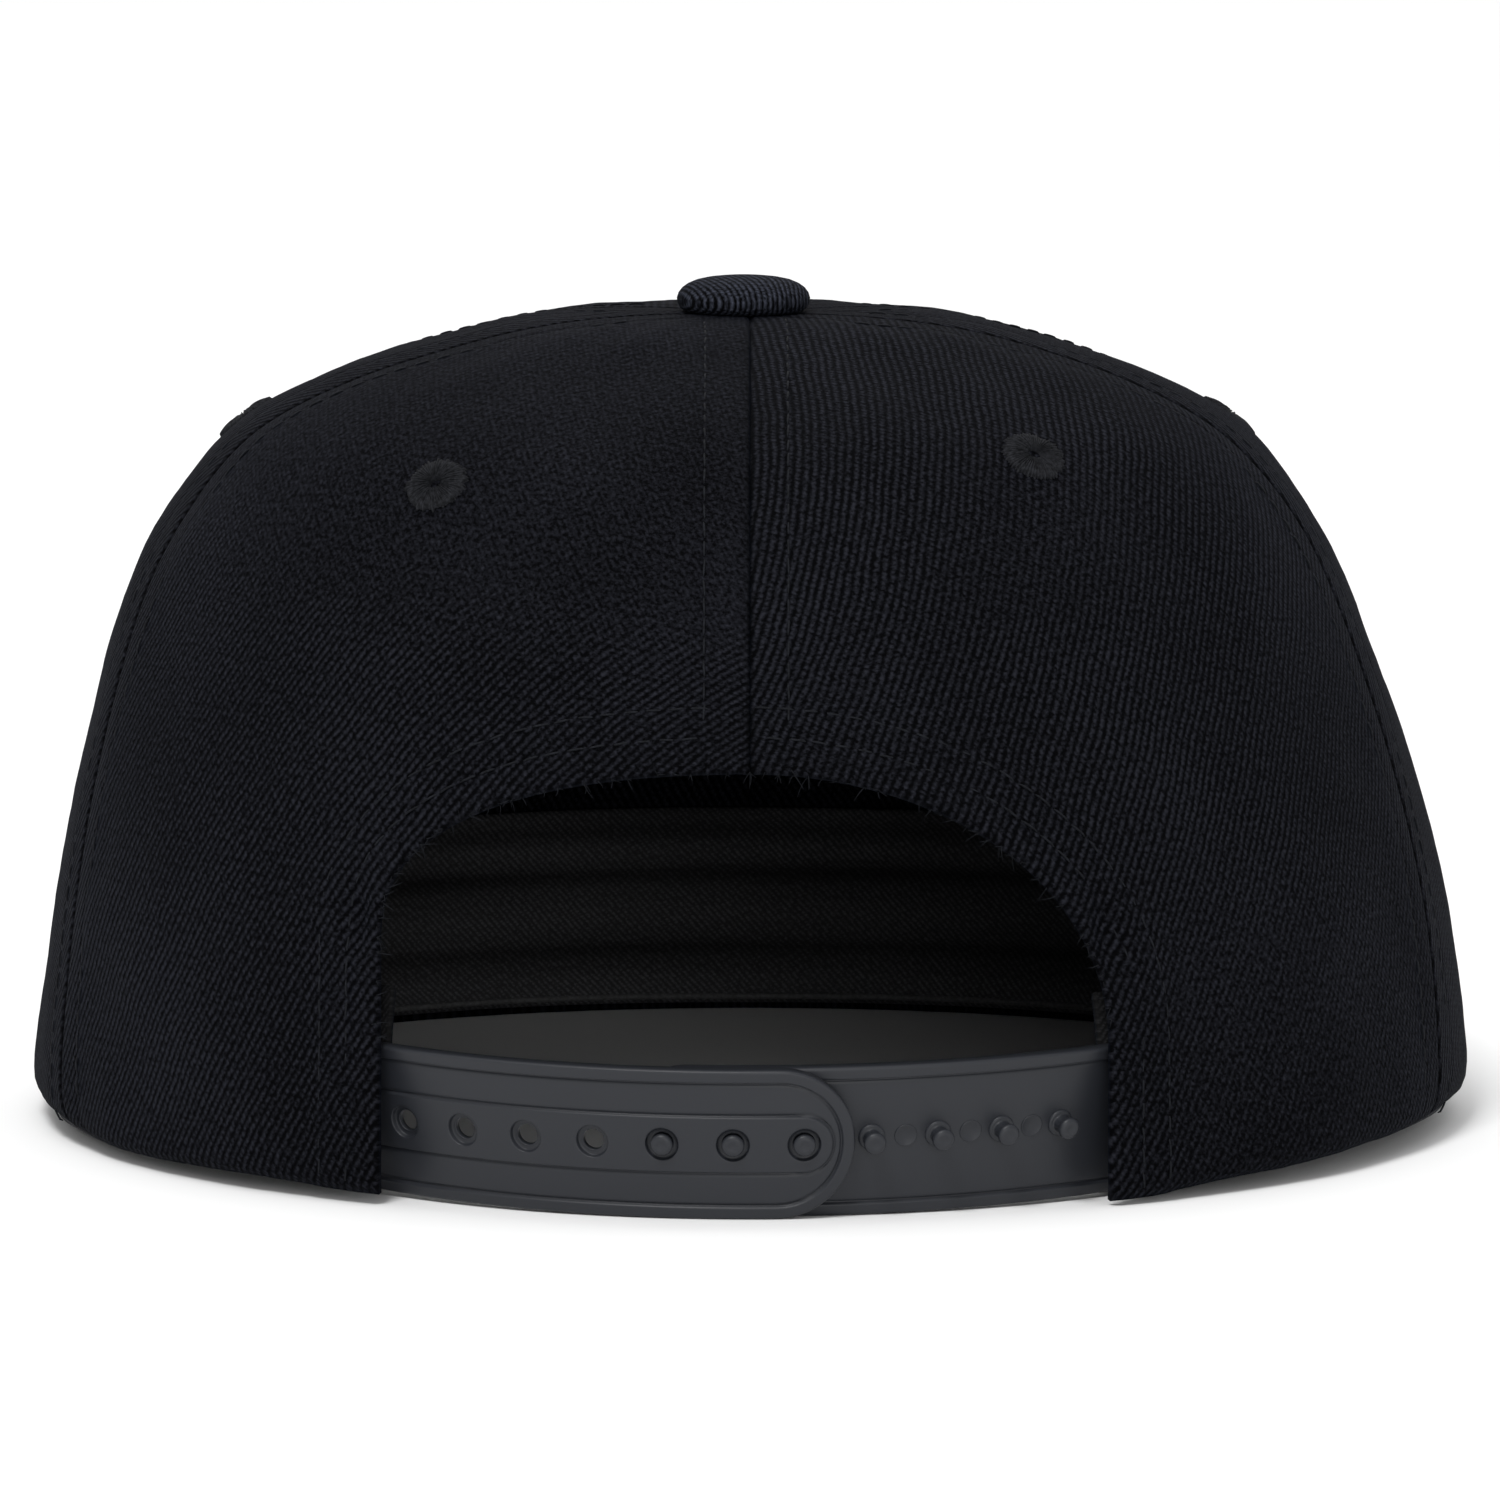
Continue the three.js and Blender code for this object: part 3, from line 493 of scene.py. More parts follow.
def twill_material(name, dark, pale, wale_pitch, grain_pitch, wale_turn, relief, marks=()):
    """Twill in two tones, whose marks are the named values at the mesh's points that it takes."""
    material = blank_material(name)
    cloth = add_node(material, "ShaderNodeUVMap", {"uv_map": "flat_cloth"})

    # No wale is ruler straight, because the threads wander.
    wander = add_node(material, "ShaderNodeTexNoise", {"Scale": 1 / WANDER_LENGTH, "Detail": 2.0},
                      {"Vector": cloth.outputs[0]})
    centred = add_node(material, "ShaderNodeVectorMath", {"operation": "SUBTRACT", 1: (0.5, 0.5, 0.5)},
                       {0: wander.outputs["Color"]})
    shifted = add_node(material, "ShaderNodeVectorMath",
                       {"operation": "MULTIPLY_ADD", 1: (WANDER_REACH,) * 3},
                       {0: centred.outputs[0], 2: cloth.outputs[0]})
    turned = add_node(material, "ShaderNodeMapping", {"Rotation": (0, 0, wale_turn)},
                      {"Vector": shifted.outputs[0]})
    split = add_node(material, "ShaderNodeSeparateXYZ", links={"Vector": turned.outputs[0]})

    # The wales are ribs side by side, and each is a row of beads where its thread goes under and over.
    wale_phase = add_node(material, "ShaderNodeMath", {"operation": "MULTIPLY", 1: 2 * math.pi / wale_pitch},
                          {0: split.outputs["X"]})
    wale_wave = add_node(material, "ShaderNodeMath", {"operation": "SINE"}, {0: wale_phase.outputs[0]})
    grain_run = add_node(material, "ShaderNodeMath", {"operation": "MULTIPLY", 1: 2 * math.pi / grain_pitch},
                         {0: split.outputs["Y"]})
    grain_phase = add_node(material, "ShaderNodeMath", {"operation": "MULTIPLY_ADD", 1: 0.5},
                           {0: wale_phase.outputs[0], 2: grain_run.outputs[0]})
    grain_wave = add_node(material, "ShaderNodeMath", {"operation": "SINE"}, {0: grain_phase.outputs[0]})
    rib = add_node(material, "ShaderNodeMapRange", {"From Min": -1.0, "From Max": 0.9},
                   {"Value": wale_wave.outputs[0]})
    bead = add_node(material, "ShaderNodeMapRange",
                    {"From Min": -1.0, "From Max": 0.8, "To Min": 0.55, "To Max": 1.0},
                    {"Value": grain_wave.outputs[0]})
    woven = add_node(material, "ShaderNodeMath", {"operation": "MULTIPLY"},
                     {0: rib.outputs[0], 1: bead.outputs[0]})
    if "brushed" in marks:
        # Where the cloth is brushed its ribs sink into an even nap.
        nap = add_node(material, "ShaderNodeAttribute", {"attribute_name": "brushed"})
        flat_weave = add_node(material, "ShaderNodeMath", {"operation": "MULTIPLY", 1: 0.5},
                              {0: bead.outputs[0]})
        woven = add_node(material, "ShaderNodeMix", {"data_type": "FLOAT"},
                         {"Factor": nap.outputs["Fac"], 2: woven.outputs[0], 3: flat_weave.outputs[0]})

    # Lint lies over the ribs, and they are crisper in some places than in others.
    fuzz = add_node(material, "ShaderNodeTexNoise",
                    {"Scale": 1 / LINT_SIZE, "Detail": 3.0, "Roughness": 0.75}, {"Vector": cloth.outputs[0]})
    worn = add_node(material, "ShaderNodeTexNoise", {"Scale": 1 / WORN_SIZE, "Detail": 2.0},
                    {"Vector": cloth.outputs[0]})
    crisp = add_node(material, "ShaderNodeMapRange",
                     {"From Min": 0.35, "From Max": 0.65, "To Min": 0.65, "To Max": 1.05},
                     {"Value": worn.outputs["Fac"]})
    ribbed = add_node(material, "ShaderNodeMath", {"operation": "MULTIPLY"},
                      {0: woven.outputs[0], 1: crisp.outputs[0]})
    height = add_node(material, "ShaderNodeMath", {"operation": "MULTIPLY_ADD", 1: 1.1},
                      {0: fuzz.outputs["Fac"], 2: ribbed.outputs[0]})
    normal = add_node(material, "ShaderNodeBump", {"Strength": 1.0, "Distance": relief},
                      {"Height": height.outputs[0]})
    if "drawn_in" in marks:
        # The needle draws the cloth in along each row of stitches.
        near = add_node(material, "ShaderNodeAttribute", {"attribute_name": "drawn_in"})
        normal = add_node(material, "ShaderNodeBump", {"Strength": 1.0, "Distance": STITCH_PULL},
                          {"Height": near.outputs["Fac"], "Normal": normal.outputs[0]})

    # The ribs' crowns and the lint take the paler tone, and broad patches lie a little lighter or darker.
    patches = add_node(material, "ShaderNodeTexNoise", {"Scale": 1 / PATCH_SIZE, "Detail": 3.0},
                       {"Vector": cloth.outputs[0]})
    lint = add_node(material, "ShaderNodeMapRange", {"From Min": 0.38, "From Max": 0.66},
                    {"Value": fuzz.outputs["Fac"]})
    broken = add_node(material, "ShaderNodeMapRange", {"To Min": 0.45, "To Max": 1.3},
                      {"Value": lint.outputs[0]})
    beaded = add_node(material, "ShaderNodeMath", {"operation": "MULTIPLY"},
                      {0: ribbed.outputs[0], 1: broken.outputs[0]})
    specks = add_node(material, "ShaderNodeMath", {"operation": "MULTIPLY_ADD", 1: 0.4},
                      {0: lint.outputs[0], 2: beaded.outputs[0]})
    patched = add_node(material, "ShaderNodeMath", {"operation": "MULTIPLY_ADD", 1: 0.25},
                       {0: patches.outputs["Fac"], 2: specks.outputs[0]})
    shade = add_node(material, "ShaderNodeMapRange", {"From Min": 0.33, "From Max": 1.25},
                     {"Value": patched.outputs[0]})
    colour = add_node(material, "ShaderNodeMix", {"data_type": "RGBA", 6: linear(dark), 7: linear(pale)},
                      {"Factor": shade.outputs[0]})
    cloth_colour = colour.outputs[2]
    if "tone" in marks:
        # Painted shade and highlight: the tone mark scales the colour, darker in the depth of a seam or
        # crease and paler along a fold.
        fold = add_node(material, "ShaderNodeAttribute", {"attribute_name": "tone"})
        toned = add_node(material, "ShaderNodeVectorMath", {"operation": "SCALE"},
                         {0: cloth_colour, "Scale": fold.outputs["Fac"]})
        cloth_colour = toned.outputs[0]

    # Brushed cloth has hardly any mirror reflection, and its fluff gives a faint bluish sheen.
    shader = add_node(material, "ShaderNodeBsdfPrincipled",
                      {"Roughness": 0.85, "IOR": 1.45, "Specular IOR Level": 0.04, "Sheen Weight": 0.012,
                       "Sheen Roughness": 0.45, "Sheen Tint": linear("#8fa3d0")},
                      {"Base Color": cloth_colour, "Normal": normal.outputs[0]})
    add_node(material, "ShaderNodeOutputMaterial", links={"Surface": shader.outputs[0]})
    return material


crown_twill = twill_material("brushed_black_twill", "#010102", "#202127", WALE_PITCH, GRAIN_PITCH, WALE_TURN,
                             CLOTH_RELIEF, ("brushed", "drawn_in", "tone"))

# The rows of stitches stand this far from a seam, on its one side and its other, and from the arch.
STITCH_ROWS = (6.2 * MM, 5.2 * MM)
HEM_ROWS = (4.7 * MM, 9.0 * MM)
DRAWN_WIDTH = 0.8 * MM
# The seam's own thread bites in this often, and its shade is this wide.
NEEDLE_PITCH = 1.5 * MM
SEAM_SHADE = 0.42 * MM
# The back seam starts this far under the arch's top, and a seam that a gore lacks is this far off.
SEAM_START = 12 * MM
FAR_OFF = 1.0


def drawn_in(distance, rows):
    """How far the cloth is drawn in beside rows of stitches, at a distance from their seam."""
    return -sum(np.exp(-((distance - row) / DRAWN_WIDTH) ** 2) for row in rows)


def brushed_share(surface, side):
    """How far the ribs are brushed out: on top of the left rear gore, and in two patches of the right."""
    x = np.abs(surface[..., 0]) / MM
    z = surface[..., 2] / MM
    if side < 0:
        return 0.85 * np.clip((z - 68 - 0.12 * x) / 12, 0, 1) * np.clip((96 - x) / 30, 0, 1)
    low = 0.45 * np.clip((x - 48) / 18, 0, 1) * np.clip((48 - z) / 16, 0, 1)
    by_eyelet = 0.5 * np.exp(-((x - 38) / 14) ** 2 - ((z - 88) / 10) ** 2)
    return low + by_eyelet


for hand, side in (("left", -1), ("right", 1)):
    for kind in ("back", "side", "front"):
        angle, up = panel_grid(kind, side)
        surface = crown_surface(angle, up)
        gaps = np.linalg.norm(np.diff(surface, axis=1), axis=2)
        run = np.concatenate([np.zeros((len(gaps), 1)), np.cumsum(gaps, axis=1)], 1)
        from_first = run
        hem = surface[..., 2] - surface[0, :, 2]
        if kind == "back":
            off_arch = np.full(run.shape, FAR_OFF)
            for place in surface[:ARCH_ROWS, 0]:
                off_arch = np.minimum(off_arch, np.linalg.norm(surface - place, axis=2))
            from_first = np.where(surface[..., 2] > ARCH_TOP - SEAM_START, np.abs(surface[..., 0]), FAR_OFF)
            hem = np.minimum(hem, off_arch)
        seam = np.minimum(from_first, run[:, -1:] - run)
        depth = dent_depth(angle, up) * np.clip(up * 12, 0, 1) * np.clip((1 - up) * 8, 0, 1)
        depth = (depth + lump_depth(surface)) * np.clip(seam / FLAT_BESIDE_SEAM, 0, 1)
        depth = depth + roll(seam, SEAM_ROLL_WIDTH, SEAM_ROLL_DEPTH)
        depth = depth + roll(hem, HEM_ROLL_WIDTH, HEM_ROLL_DEPTH)
        # Painted shade darkens the seam's groove, broken into dashes where the needle bites, and is carried
        # as the tone mark.
        needle = 0.75 + 0.25 * np.sin(2 * math.pi * surface[..., 2] / NEEDLE_PITCH)
        marks = {
            "brushed": np.zeros_like(seam),
            "drawn_in": drawn_in(seam, STITCH_ROWS[:1]),
            "tone": 1 - 0.9 * needle * np.exp(-(seam / SEAM_SHADE) ** 2),
        }
        if kind == "back":
            step = np.clip((off_arch - HEM_STEP) / HEM_STEP_WIDTH, 0, 1)
            depth = depth + HEM_STEP_DEPTH * step * np.exp(-off_arch / HEM_STEP_FADE)
            marks["brushed"] = brushed_share(surface, side)
            marks["drawn_in"] = marks["drawn_in"] + drawn_in(off_arch, HEM_ROWS)
        outer = crown_point(angle, up, depth)
        inner = crown_point(angle, up, np.maximum(PANEL_THICKNESS, depth + LEAST_WALL))
        panel = make_wall(f"gore_{kind}_{hand}", outer, inner, crown_twill, twill_place(surface, kind, side),
                          marks)
        dress(panel, "crown_twill", f"panel_{kind}_{hand}")

# The fold under the arch is stitched down in two rows, and so is each side of every seam. The thread is
# polyester a shade paler than the cloth, pulled tight so that each stitch dips at both ends.
STITCH_PITCH = 3.1 * MM
STITCH_LENGTH = 2.6 * MM
STITCH_RADIUS = 0.16 * MM
STITCH_SINK = 0.13 * MM
STRAND_SIZE = 0.556 * MM
STRAND_RELIEF = 0.08 * MM


def thread_material(name, dark, pale, roughness):
    """Thread or tape whose strands, drawn coarser than they are so that they show, break up its tone."""
    material = blank_material(name)
    place = add_node(material, "ShaderNodeTexCoord")
    strands = add_node(material, "ShaderNodeTexNoise", {"Scale": 1 / STRAND_SIZE, "Detail": 3.0},
                       {"Vector": place.outputs["Object"]})
    shade = add_node(material, "ShaderNodeMapRange", {"From Min": 0.3, "From Max": 0.75},
                     {"Value": strands.outputs["Fac"]})
    colour = add_node(material, "ShaderNodeMix", {"data_type": "RGBA", 6: linear(dark), 7: linear(pale)},
                      {"Factor": shade.outputs[0]})
    bump = add_node(material, "ShaderNodeBump", {"Strength": 0.8, "Distance": STRAND_RELIEF},
                    {"Height": strands.outputs["Fac"]})
    shader = add_node(material, "ShaderNodeBsdfPrincipled",
                      {"Roughness": roughness, "IOR": 1.5, "Specular IOR Level": 0.1},
                      {"Base Color": colour.outputs[2], "Normal": bump.outputs[0]})
    add_node(material, "ShaderNodeOutputMaterial", links={"Surface": shader.outputs[0]})
    return material


# Spun polyester: a soft, dull thread, a shade paler than the cloth so that the stitches just show.
seam_thread = thread_material("polyester_seam_thread", "#0b0c0f", "#1a1c21", 0.75)


def tube_along(points, normals, radii, sides):
    """Rings round a run of points, each with its own radius, closed at both ends."""
    tangents = np.gradient(points, axis=0)
    tangents /= np.linalg.norm(tangents, axis=1, keepdims=True)
    sideways = np.cross(tangents, normals)
    sideways /= np.linalg.norm(sideways, axis=1, keepdims=True)
    upward = np.cross(sideways, tangents)
    turns = 2 * math.pi * np.arange(sides) / sides
    ring = np.cos(turns)[None, :, None] * sideways[:, None] + np.sin(turns)[None, :, None] * upward[:, None]
    body = (points[:, None] + ring * np.asarray(radii)[:, None, None]).reshape(-1, 3)
    count = len(points)
    faces = []
    for i in range(count - 1):
        for j in range(sides):
            after = (j + 1) % sides
            faces.append([i * sides + j, i * sides + after, (i + 1) * sides + after, (i + 1) * sides + j])
    faces.append(list(range(sides))[::-1])
    faces.append([(count - 1) * sides + j for j in range(sides)])
    return body, faces


class Gathered:
    """Many small shapes collected into one mesh."""

    def __init__(self):
        self.points = []
        self.faces = []
        self.total = 0

    def add(self, points, faces):
        self.faces.extend([[corner + self.total for corner in face] for face in faces])
        self.points.append(points)
        self.total += len(points)

    def piece(self, name, material):
        return make_piece(name, np.concatenate(self.points), self.faces, material)


def nearest_on_crown(targets, angle, up):
    """The angles and ups of the crown's places nearest to targets, from a first guess."""
    for _ in range(12):
        here = crown_surface(angle, up)
        step = 1e-3
        by_angle = (crown_surface(angle + step, up) - here) / step
        above = np.clip(up + step, 0, 1)
        below = np.clip(up - step, 0, 1)
        by_up = (crown_surface(angle, above) - crown_surface(angle, below)) / (above - below)[:, None]
        gap = targets - here
        angle = angle + 0.9 * (gap * by_angle).sum(1) / (by_angle ** 2).sum(1)
        up = np.clip(up + 0.9 * (gap * by_up).sum(1) / (by_up ** 2).sum(1), 0, 1)
    return angle, up


def offset_curve(angle, up, distance):
    """A curve on the crown kept at a distance beside another, to the left of its run for positive ones."""
    places = crown_surface(angle, up)
    normals = crown_frame(angle, up)[2]
    tangents = np.gradient(places, axis=0)
    tangents /= np.linalg.norm(tangents, axis=1, keepdims=True)
    sideways = np.cross(normals, tangents)
    targets = places + sideways * distance
    return nearest_on_crown(targets, angle.copy(), up.copy())


def add_stitches(gathered, places, normals, random):
    """A row of stitches along places, each bowed up in its middle and sunk at both ends."""
    run = np.concatenate([[0], np.cumsum(np.linalg.norm(np.diff(places, axis=0), axis=1))])
    start = STITCH_PITCH * 0.4
    while start + STITCH_LENGTH < run[-1]:
        length = STITCH_LENGTH * random.uniform(0.9, 1.06)
        share = np.linspace(0, 1, 6)
        along = start + length * share
        points = np.stack([np.interp(along, run, places[:, i]) for i in range(3)], 1)
        outward = np.stack([np.interp(along, run, normals[:, i]) for i in range(3)], 1)
        outward /= np.linalg.norm(outward, axis=1, keepdims=True)
        bow = 1 - (2 * share - 1) ** 4
        rise = STITCH_RADIUS * (0.9 * bow - 0.7 * (1 - bow)) - STITCH_SINK
        points = points + outward * rise[:, None]
        sway = np.cross(outward, points[-1] - points[0])
        sway /= np.linalg.norm(sway, axis=1, keepdims=True)
        points = points + sway * ((2 * share - 1) * random.uniform(-0.12, 0.12) * MM)[:, None]
        body, faces = tube_along(points, outward, STITCH_RADIUS * (0.55 + 0.45 * bow), 6)
        gathered.add(body, faces)
        start += STITCH_PITCH * random.uniform(0.95, 1.05)


def stitch_crown(gathered, angle, up, random):
    """A row of stitches on the crown's face."""
    places = crown_point(angle, up, dent_depth(angle, up))
    add_stitches(gathered, places, crown_frame(angle, up)[2], random)


# The rows end short of the button, and the hem's rows stop at this angle beside the back seam, in radians.
ROWS_END = 0.9
HEM_ROWS_END = 0.012
random = np.random.default_rng(7)
stitches = Gathered()
levels = np.linspace(0.03, 0.985, 160)
levels = levels[levels < ROWS_END]
for side in (-1, 1):
    for column in (0, 1):
        seam_angle = side * np.radians(spline(SEAMS[:, column], levels))
        for sign, offset in zip((1, -1), STITCH_ROWS):
            angle, up = offset_curve(seam_angle, levels, sign * side * offset)
            stitch_crown(stitches, angle, up, random)
    arch_angle, arch_up = arch_edge_curve(side, 60)
    back = np.linspace(arch_up[-1] + 0.02, ROWS_END, 80)
    angle, up = offset_curve(back_seam_angle(back), back, -side * STITCH_ROWS[0 if side < 0 else 1])
    stitch_crown(stitches, angle, up, random)
    front = np.linspace(0.02, ROWS_END, 120)
    angle, up = offset_curve(np.full(120, side * math.pi), front, side * STITCH_ROWS[0])
    stitch_crown(stitches, angle, up, random)
    for row in HEM_ROWS:
        angle, up = offset_curve(side * arch_angle, arch_up, -side * row)
        kept = side * angle > HEM_ROWS_END
        stitch_crown(stitches, angle[kept], up[kept], random)
stitch_piece = stitches.piece("seam_stitches", seam_thread)
dress(stitch_piece, "eyelet_thread")

# The turned edge of the arch is a little frayed: short loose fibres of the black twill stand off it where
# it bends, above the straight ends beside the strap.
FIBRE_COUNT = 260
FIBRES_FROM = 22 * MM
arch_edges = {side: arch_edge_curve(side, 40) for side in (-1, 1)}
fibres = Gathered()
for _ in range(FIBRE_COUNT):
    side = random.choice([-1, 1])
    edge_angle, edge_up = arch_edges[side]
    pick = random.integers(0, len(edge_angle))
    angle = np.full(1, side * edge_angle[pick])
    up = np.full(1, edge_up[pick])
    start = crown_point(angle, up, random.uniform(0.2, 1.2) * MM)[0]
    inward = np.array([-start[0], 0, -0.4 * start[2]])
    inward /= np.linalg.norm(inward)
    lean = random.normal(0, 0.7, 3)
    direction = inward * 0.7 + lean
    direction /= np.linalg.norm(direction)
    bend = random.normal(0, 0.5, 3)
    share = np.linspace(0, 1, 5)
    length = random.uniform(0.7, 2.2) * MM
    points = start + length * (share[:, None] * direction + (share ** 2)[:, None] * bend * 0.5)
    outward = np.tile(np.cross(direction, [0.3, 0.5, 0.8]), (5, 1))
    body, faces = tube_along(points, outward, np.linspace(0.09, 0.04, 5) * MM, 3)
    if start[2] > FIBRES_FROM:
        fibres.add(body, faces)
fibre_piece = fibres.piece("arch_fibres", seam_thread)
dress(fibre_piece, "eyelet_thread")

# The button: a pressed metal disc covered in the same twill, riveted through the crown where the six
# gores meet. Its profile is radius and height, as shares of its own, from the top down.
BUTTON_HEIGHT = 4.9 * MM
BUTTON_PROFILE = [(0, 1), (0.2, 0.995), (0.4, 0.975), (0.57, 0.935), (0.72, 0.87), (0.84, 0.77),
                  (0.92, 0.66), (0.975, 0.52), (1, 0.37), (0.99, 0.22), (0.955, 0.1), (0.9, 0.02),
                  (0.8, -0.03), (0.5, -0.03)]
BUTTON_SIDES = 96
BUTTON_STRETCH = 0.25


def lathe(profile, sides):
    """Rings of points (radius, height) turned round +Z, closed at both ends."""
    turns = 2 * math.pi * np.arange(sides) / sides
    rings = [np.stack([r * np.cos(turns), r * np.sin(turns), np.full(sides, z)], 1)
             for r, z in profile if r > 0]
    tip = len(rings) * sides
    points = np.concatenate(rings)
    faces = []
    for i in range(len(rings) - 1):
        for j in range(sides):
            after = (j + 1) % sides
            faces.append([i * sides + j, (i + 1) * sides + j, (i + 1) * sides + after, i * sides + after])
    if profile[0][0] == 0:
        points = np.concatenate([points, [[0, 0, profile[0][1]]]])
        faces.extend([[tip, j, (j + 1) % sides] for j in range(sides)])
    else:
        faces.append(list(range(sides)))
    last = (len(rings) - 1) * sides
    faces.append([last + j for j in range(sides)][::-1])
    return points, faces


button_middle = np.array([(button_low[0] + button_high[0]) / 2, AXIS_Y, button_high[2] - BUTTON_HEIGHT])
button_radius = (button_high[0] - button_low[0]) / 2
points, faces = lathe([(r * button_radius, z * BUTTON_HEIGHT) for r, z in BUTTON_PROFILE], BUTTON_SIDES)
off_middle = np.hypot(points[:, 0], points[:, 1]) / button_radius
flat = points[:, :2] * (1 + BUTTON_STRETCH * off_middle ** 3)[:, None]
# The same twill pulled tight over a metal disc, so that its wales stand out. Its pale tone is set well above
# the crown's as painted light, for the light that falls on the button's top.
button_twill = twill_material("black_twill_on_the_button", "#030304", "#373a44", 0.95 * MM, 0.7 * MM,
                              math.radians(-18), CLOTH_RELIEF)
button_piece = make_piece("covered_button", points + button_middle, faces, button_twill, flat)
dress(button_piece, "crown_twill", "button")

# Six eyelets, one to a gore, for air: each a small hole punched through the cloth and whipped round with
# close radial stitches by an embroidery machine.
EYELET_RADIUS = 4.6 * MM
EYELET_HOLE = 0.75 * MM
EYELET_RISE = 0.75 * MM
EYELET_THREADS = 56
EYELET_ROWS = 20
COLUMNS_PER_THREAD = 6
# Matt embroidery thread, rubbed fuzzy, so that the eyelets look flat and a little grey beside the twill.
eyelet_thread = thread_material("fuzzy_black_embroidery_thread", "#0b0c0e", "#26272b", 0.8)


def eyelet_shape(random):
    """A ring of radial stitches round a hole, lying flat, its ends uneven and its face open below."""
    columns = EYELET_THREADS * COLUMNS_PER_THREAD
    turn = 2 * math.pi * np.arange(columns) / columns
    thread = np.arange(columns) // COLUMNS_PER_THREAD
    across = (np.arange(columns) % COLUMNS_PER_THREAD) / COLUMNS_PER_THREAD
    ridge = np.sin(math.pi * (across + 1 / 12)) ** 0.7
    ends = random.uniform(-0.34, 0.4, EYELET_THREADS)[thread] * MM
    lifts = random.uniform(0.8, 1.15, EYELET_THREADS)[thread]
    share = np.linspace(0, 1, EYELET_ROWS)[:, None]
    outer = EYELET_RADIUS - 0.2 * MM + ends * ridge - 0.25 * MM * (1 - ridge)
    radius = EYELET_HOLE + (outer - EYELET_HOLE)[None, :] * share
    dome = np.sin(math.pi * np.clip(share, 0, 1) ** 0.62) ** 0.55
    height = EYELET_RISE * dome * lifts[None, :] * (0.45 + 0.55 * ridge[None, :])
    height = height - 0.35 * MM * (share == 1) - 0.6 * MM * (share == 0)
    points = np.stack([radius * np.cos(turn), radius * np.sin(turn), height], -1).reshape(-1, 3)
    faces = []
    for i in range(EYELET_ROWS - 1):
        for j in range(columns):
            after = (j + 1) % columns
            faces.append([i * columns + j, (i + 1) * columns + j,
                          (i + 1) * columns + after, i * columns + after])
    return points, faces


def on_crown_beside(place):
    """The angle and up of the crown's face beside a place."""
    offset = np.array(place) - [0, AXIS_Y, 0]
    angle = np.array([math.atan2(offset[0], -offset[1])])
    up = np.array([float(up_at_height(min(place[2] / CROWN_HEIGHT, 0.98)))])
    return nearest_on_crown(np.array([place]), angle, up)


def stand_on(points, place, across, along, normal):
    """Points of a lying shape, moved so that it stands on a place along three directions."""
    return place + points[:, :1] * across + points[:, 1:2] * along + points[:, 2:] * normal


for kind in ("back", "side", "front"):
    for hand in ("left", "right"):
        node = f"eyelet_{kind}_{hand}"
        low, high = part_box(node)
        middle = (np.array(low) + np.array(high)) / 2
        angle, up = on_crown_beside(middle)
        across, along, normal = [vectors[0] for vectors in crown_frame(angle, up)]
        place = crown_point(angle, up, dent_depth(angle, up))[0]
        points, faces = eyelet_shape(random)
        points = stand_on(points, place, across, along, normal)
        eyelet_piece = make_piece(f"embroidered_{node}", points, faces, eyelet_thread)
        dress(eyelet_piece, "eyelet_thread", node)

# The closure: two straps of soft matt plastic, moulded with raised rims. The left one has seven
# countersunk holes along a raised band and lies over the right one, whose pegs snap into the last three.
STRAP_HEIGHT = 20.8 * MM
STRAP_THICKNESS = 1.6 * MM
STRAP_FIELD = 0.32 * MM
BAND_LEVEL = 0.08 * MM
STRAP_RIM = 1.7 * MM
STRAP_BAND_HEIGHT = 7.8 * MM
STRAP_SAG = 0.6 * MM
STRAP_INSET = 1.2 * MM
STRAP_TUCK = 0.8 * MM
STRAP_ROOT = 7 * MM
STRAP_TIP = 6.9 * MM
STRAP_DRIFT = math.tan(math.radians(12))
SNAP_PLAY = 0.4 * MM
SNAP_PITCH = 9.6 * MM
SNAP_COUNT = 7
SNAPS_CLOSED = 3
LAST_HOLE_X = 7.3 * MM
PEG_REACH = 2.3 * MM
PEG_RISE = 0.49 * MM
HOLE_RADIUS = 1.45 * MM
# The moulded relief: the rim's rounded edge, its step down to the field, and the sharp groove at its foot.
RIM_ROUNDING = 0.4 * MM
RIM_STEP = 0.3 * MM
RIM_GROOVE = 0.28 * MM
BAND_STEP = 0.28 * MM
BAND_GROOVE = 0.26 * MM
GROOVE_OFFSET = 0.15 * MM
GROOVE_WIDTH = 0.16 * MM


def strap_arc(side, depth_in_middle):
    """The radius and centre of the arc that a strap's face follows, from its root on the gore's back."""
    edge_x = ARCH_SIDES[side][0] * ARCH_HALF_WIDTH
    turn = side * math.asin(edge_x / (RINGS[1, 2] * CROWN_HALF_WIDTH))
    top = up_at_height((STRAP_SAG + STRAP_HEIGHT) / CROWN_HEIGHT)
    edge = crown_point(np.array(turn), np.array(top), PANEL_THICKNESS + STRAP_TUCK)
    overhang = STRAP_DRIFT * STRAP_HEIGHT / 2
    top_middle = AXIS_Y - CROWN_HALF_LENGTH + STRAP_INSET + depth_in_middle - overhang
    rise = edge[1] - top_middle
    top_radius = (edge[0] ** 2 + rise ** 2) / (2 * rise)
    return top_radius - overhang, top_middle + top_radius


def bend_strap(flat, arc):
    """Flat points (along, above the strap's middle line, out of its face) laid round an arc."""
    radius, centre_y = arc
    turn = flat[:, 0] / radius
    middle = STRAP_HEIGHT / 2 + STRAP_SAG * (radius * np.sin(turn) / ARCH_HALF_WIDTH) ** 2
    reach = radius + STRAP_DRIFT * flat[:, 1] + flat[:, 2]
    lean = STRAP_DRIFT * flat[:, 2]
    return np.stack([reach * np.sin(turn), centre_y - reach * np.cos(turn), middle + flat[:, 1] - lean], 1)


def smooth_step(value):
    """0 below 0, 1 above 1, and an eased rise between."""
    share = np.clip(value, 0, 1)
    return share * share * (3 - 2 * share)


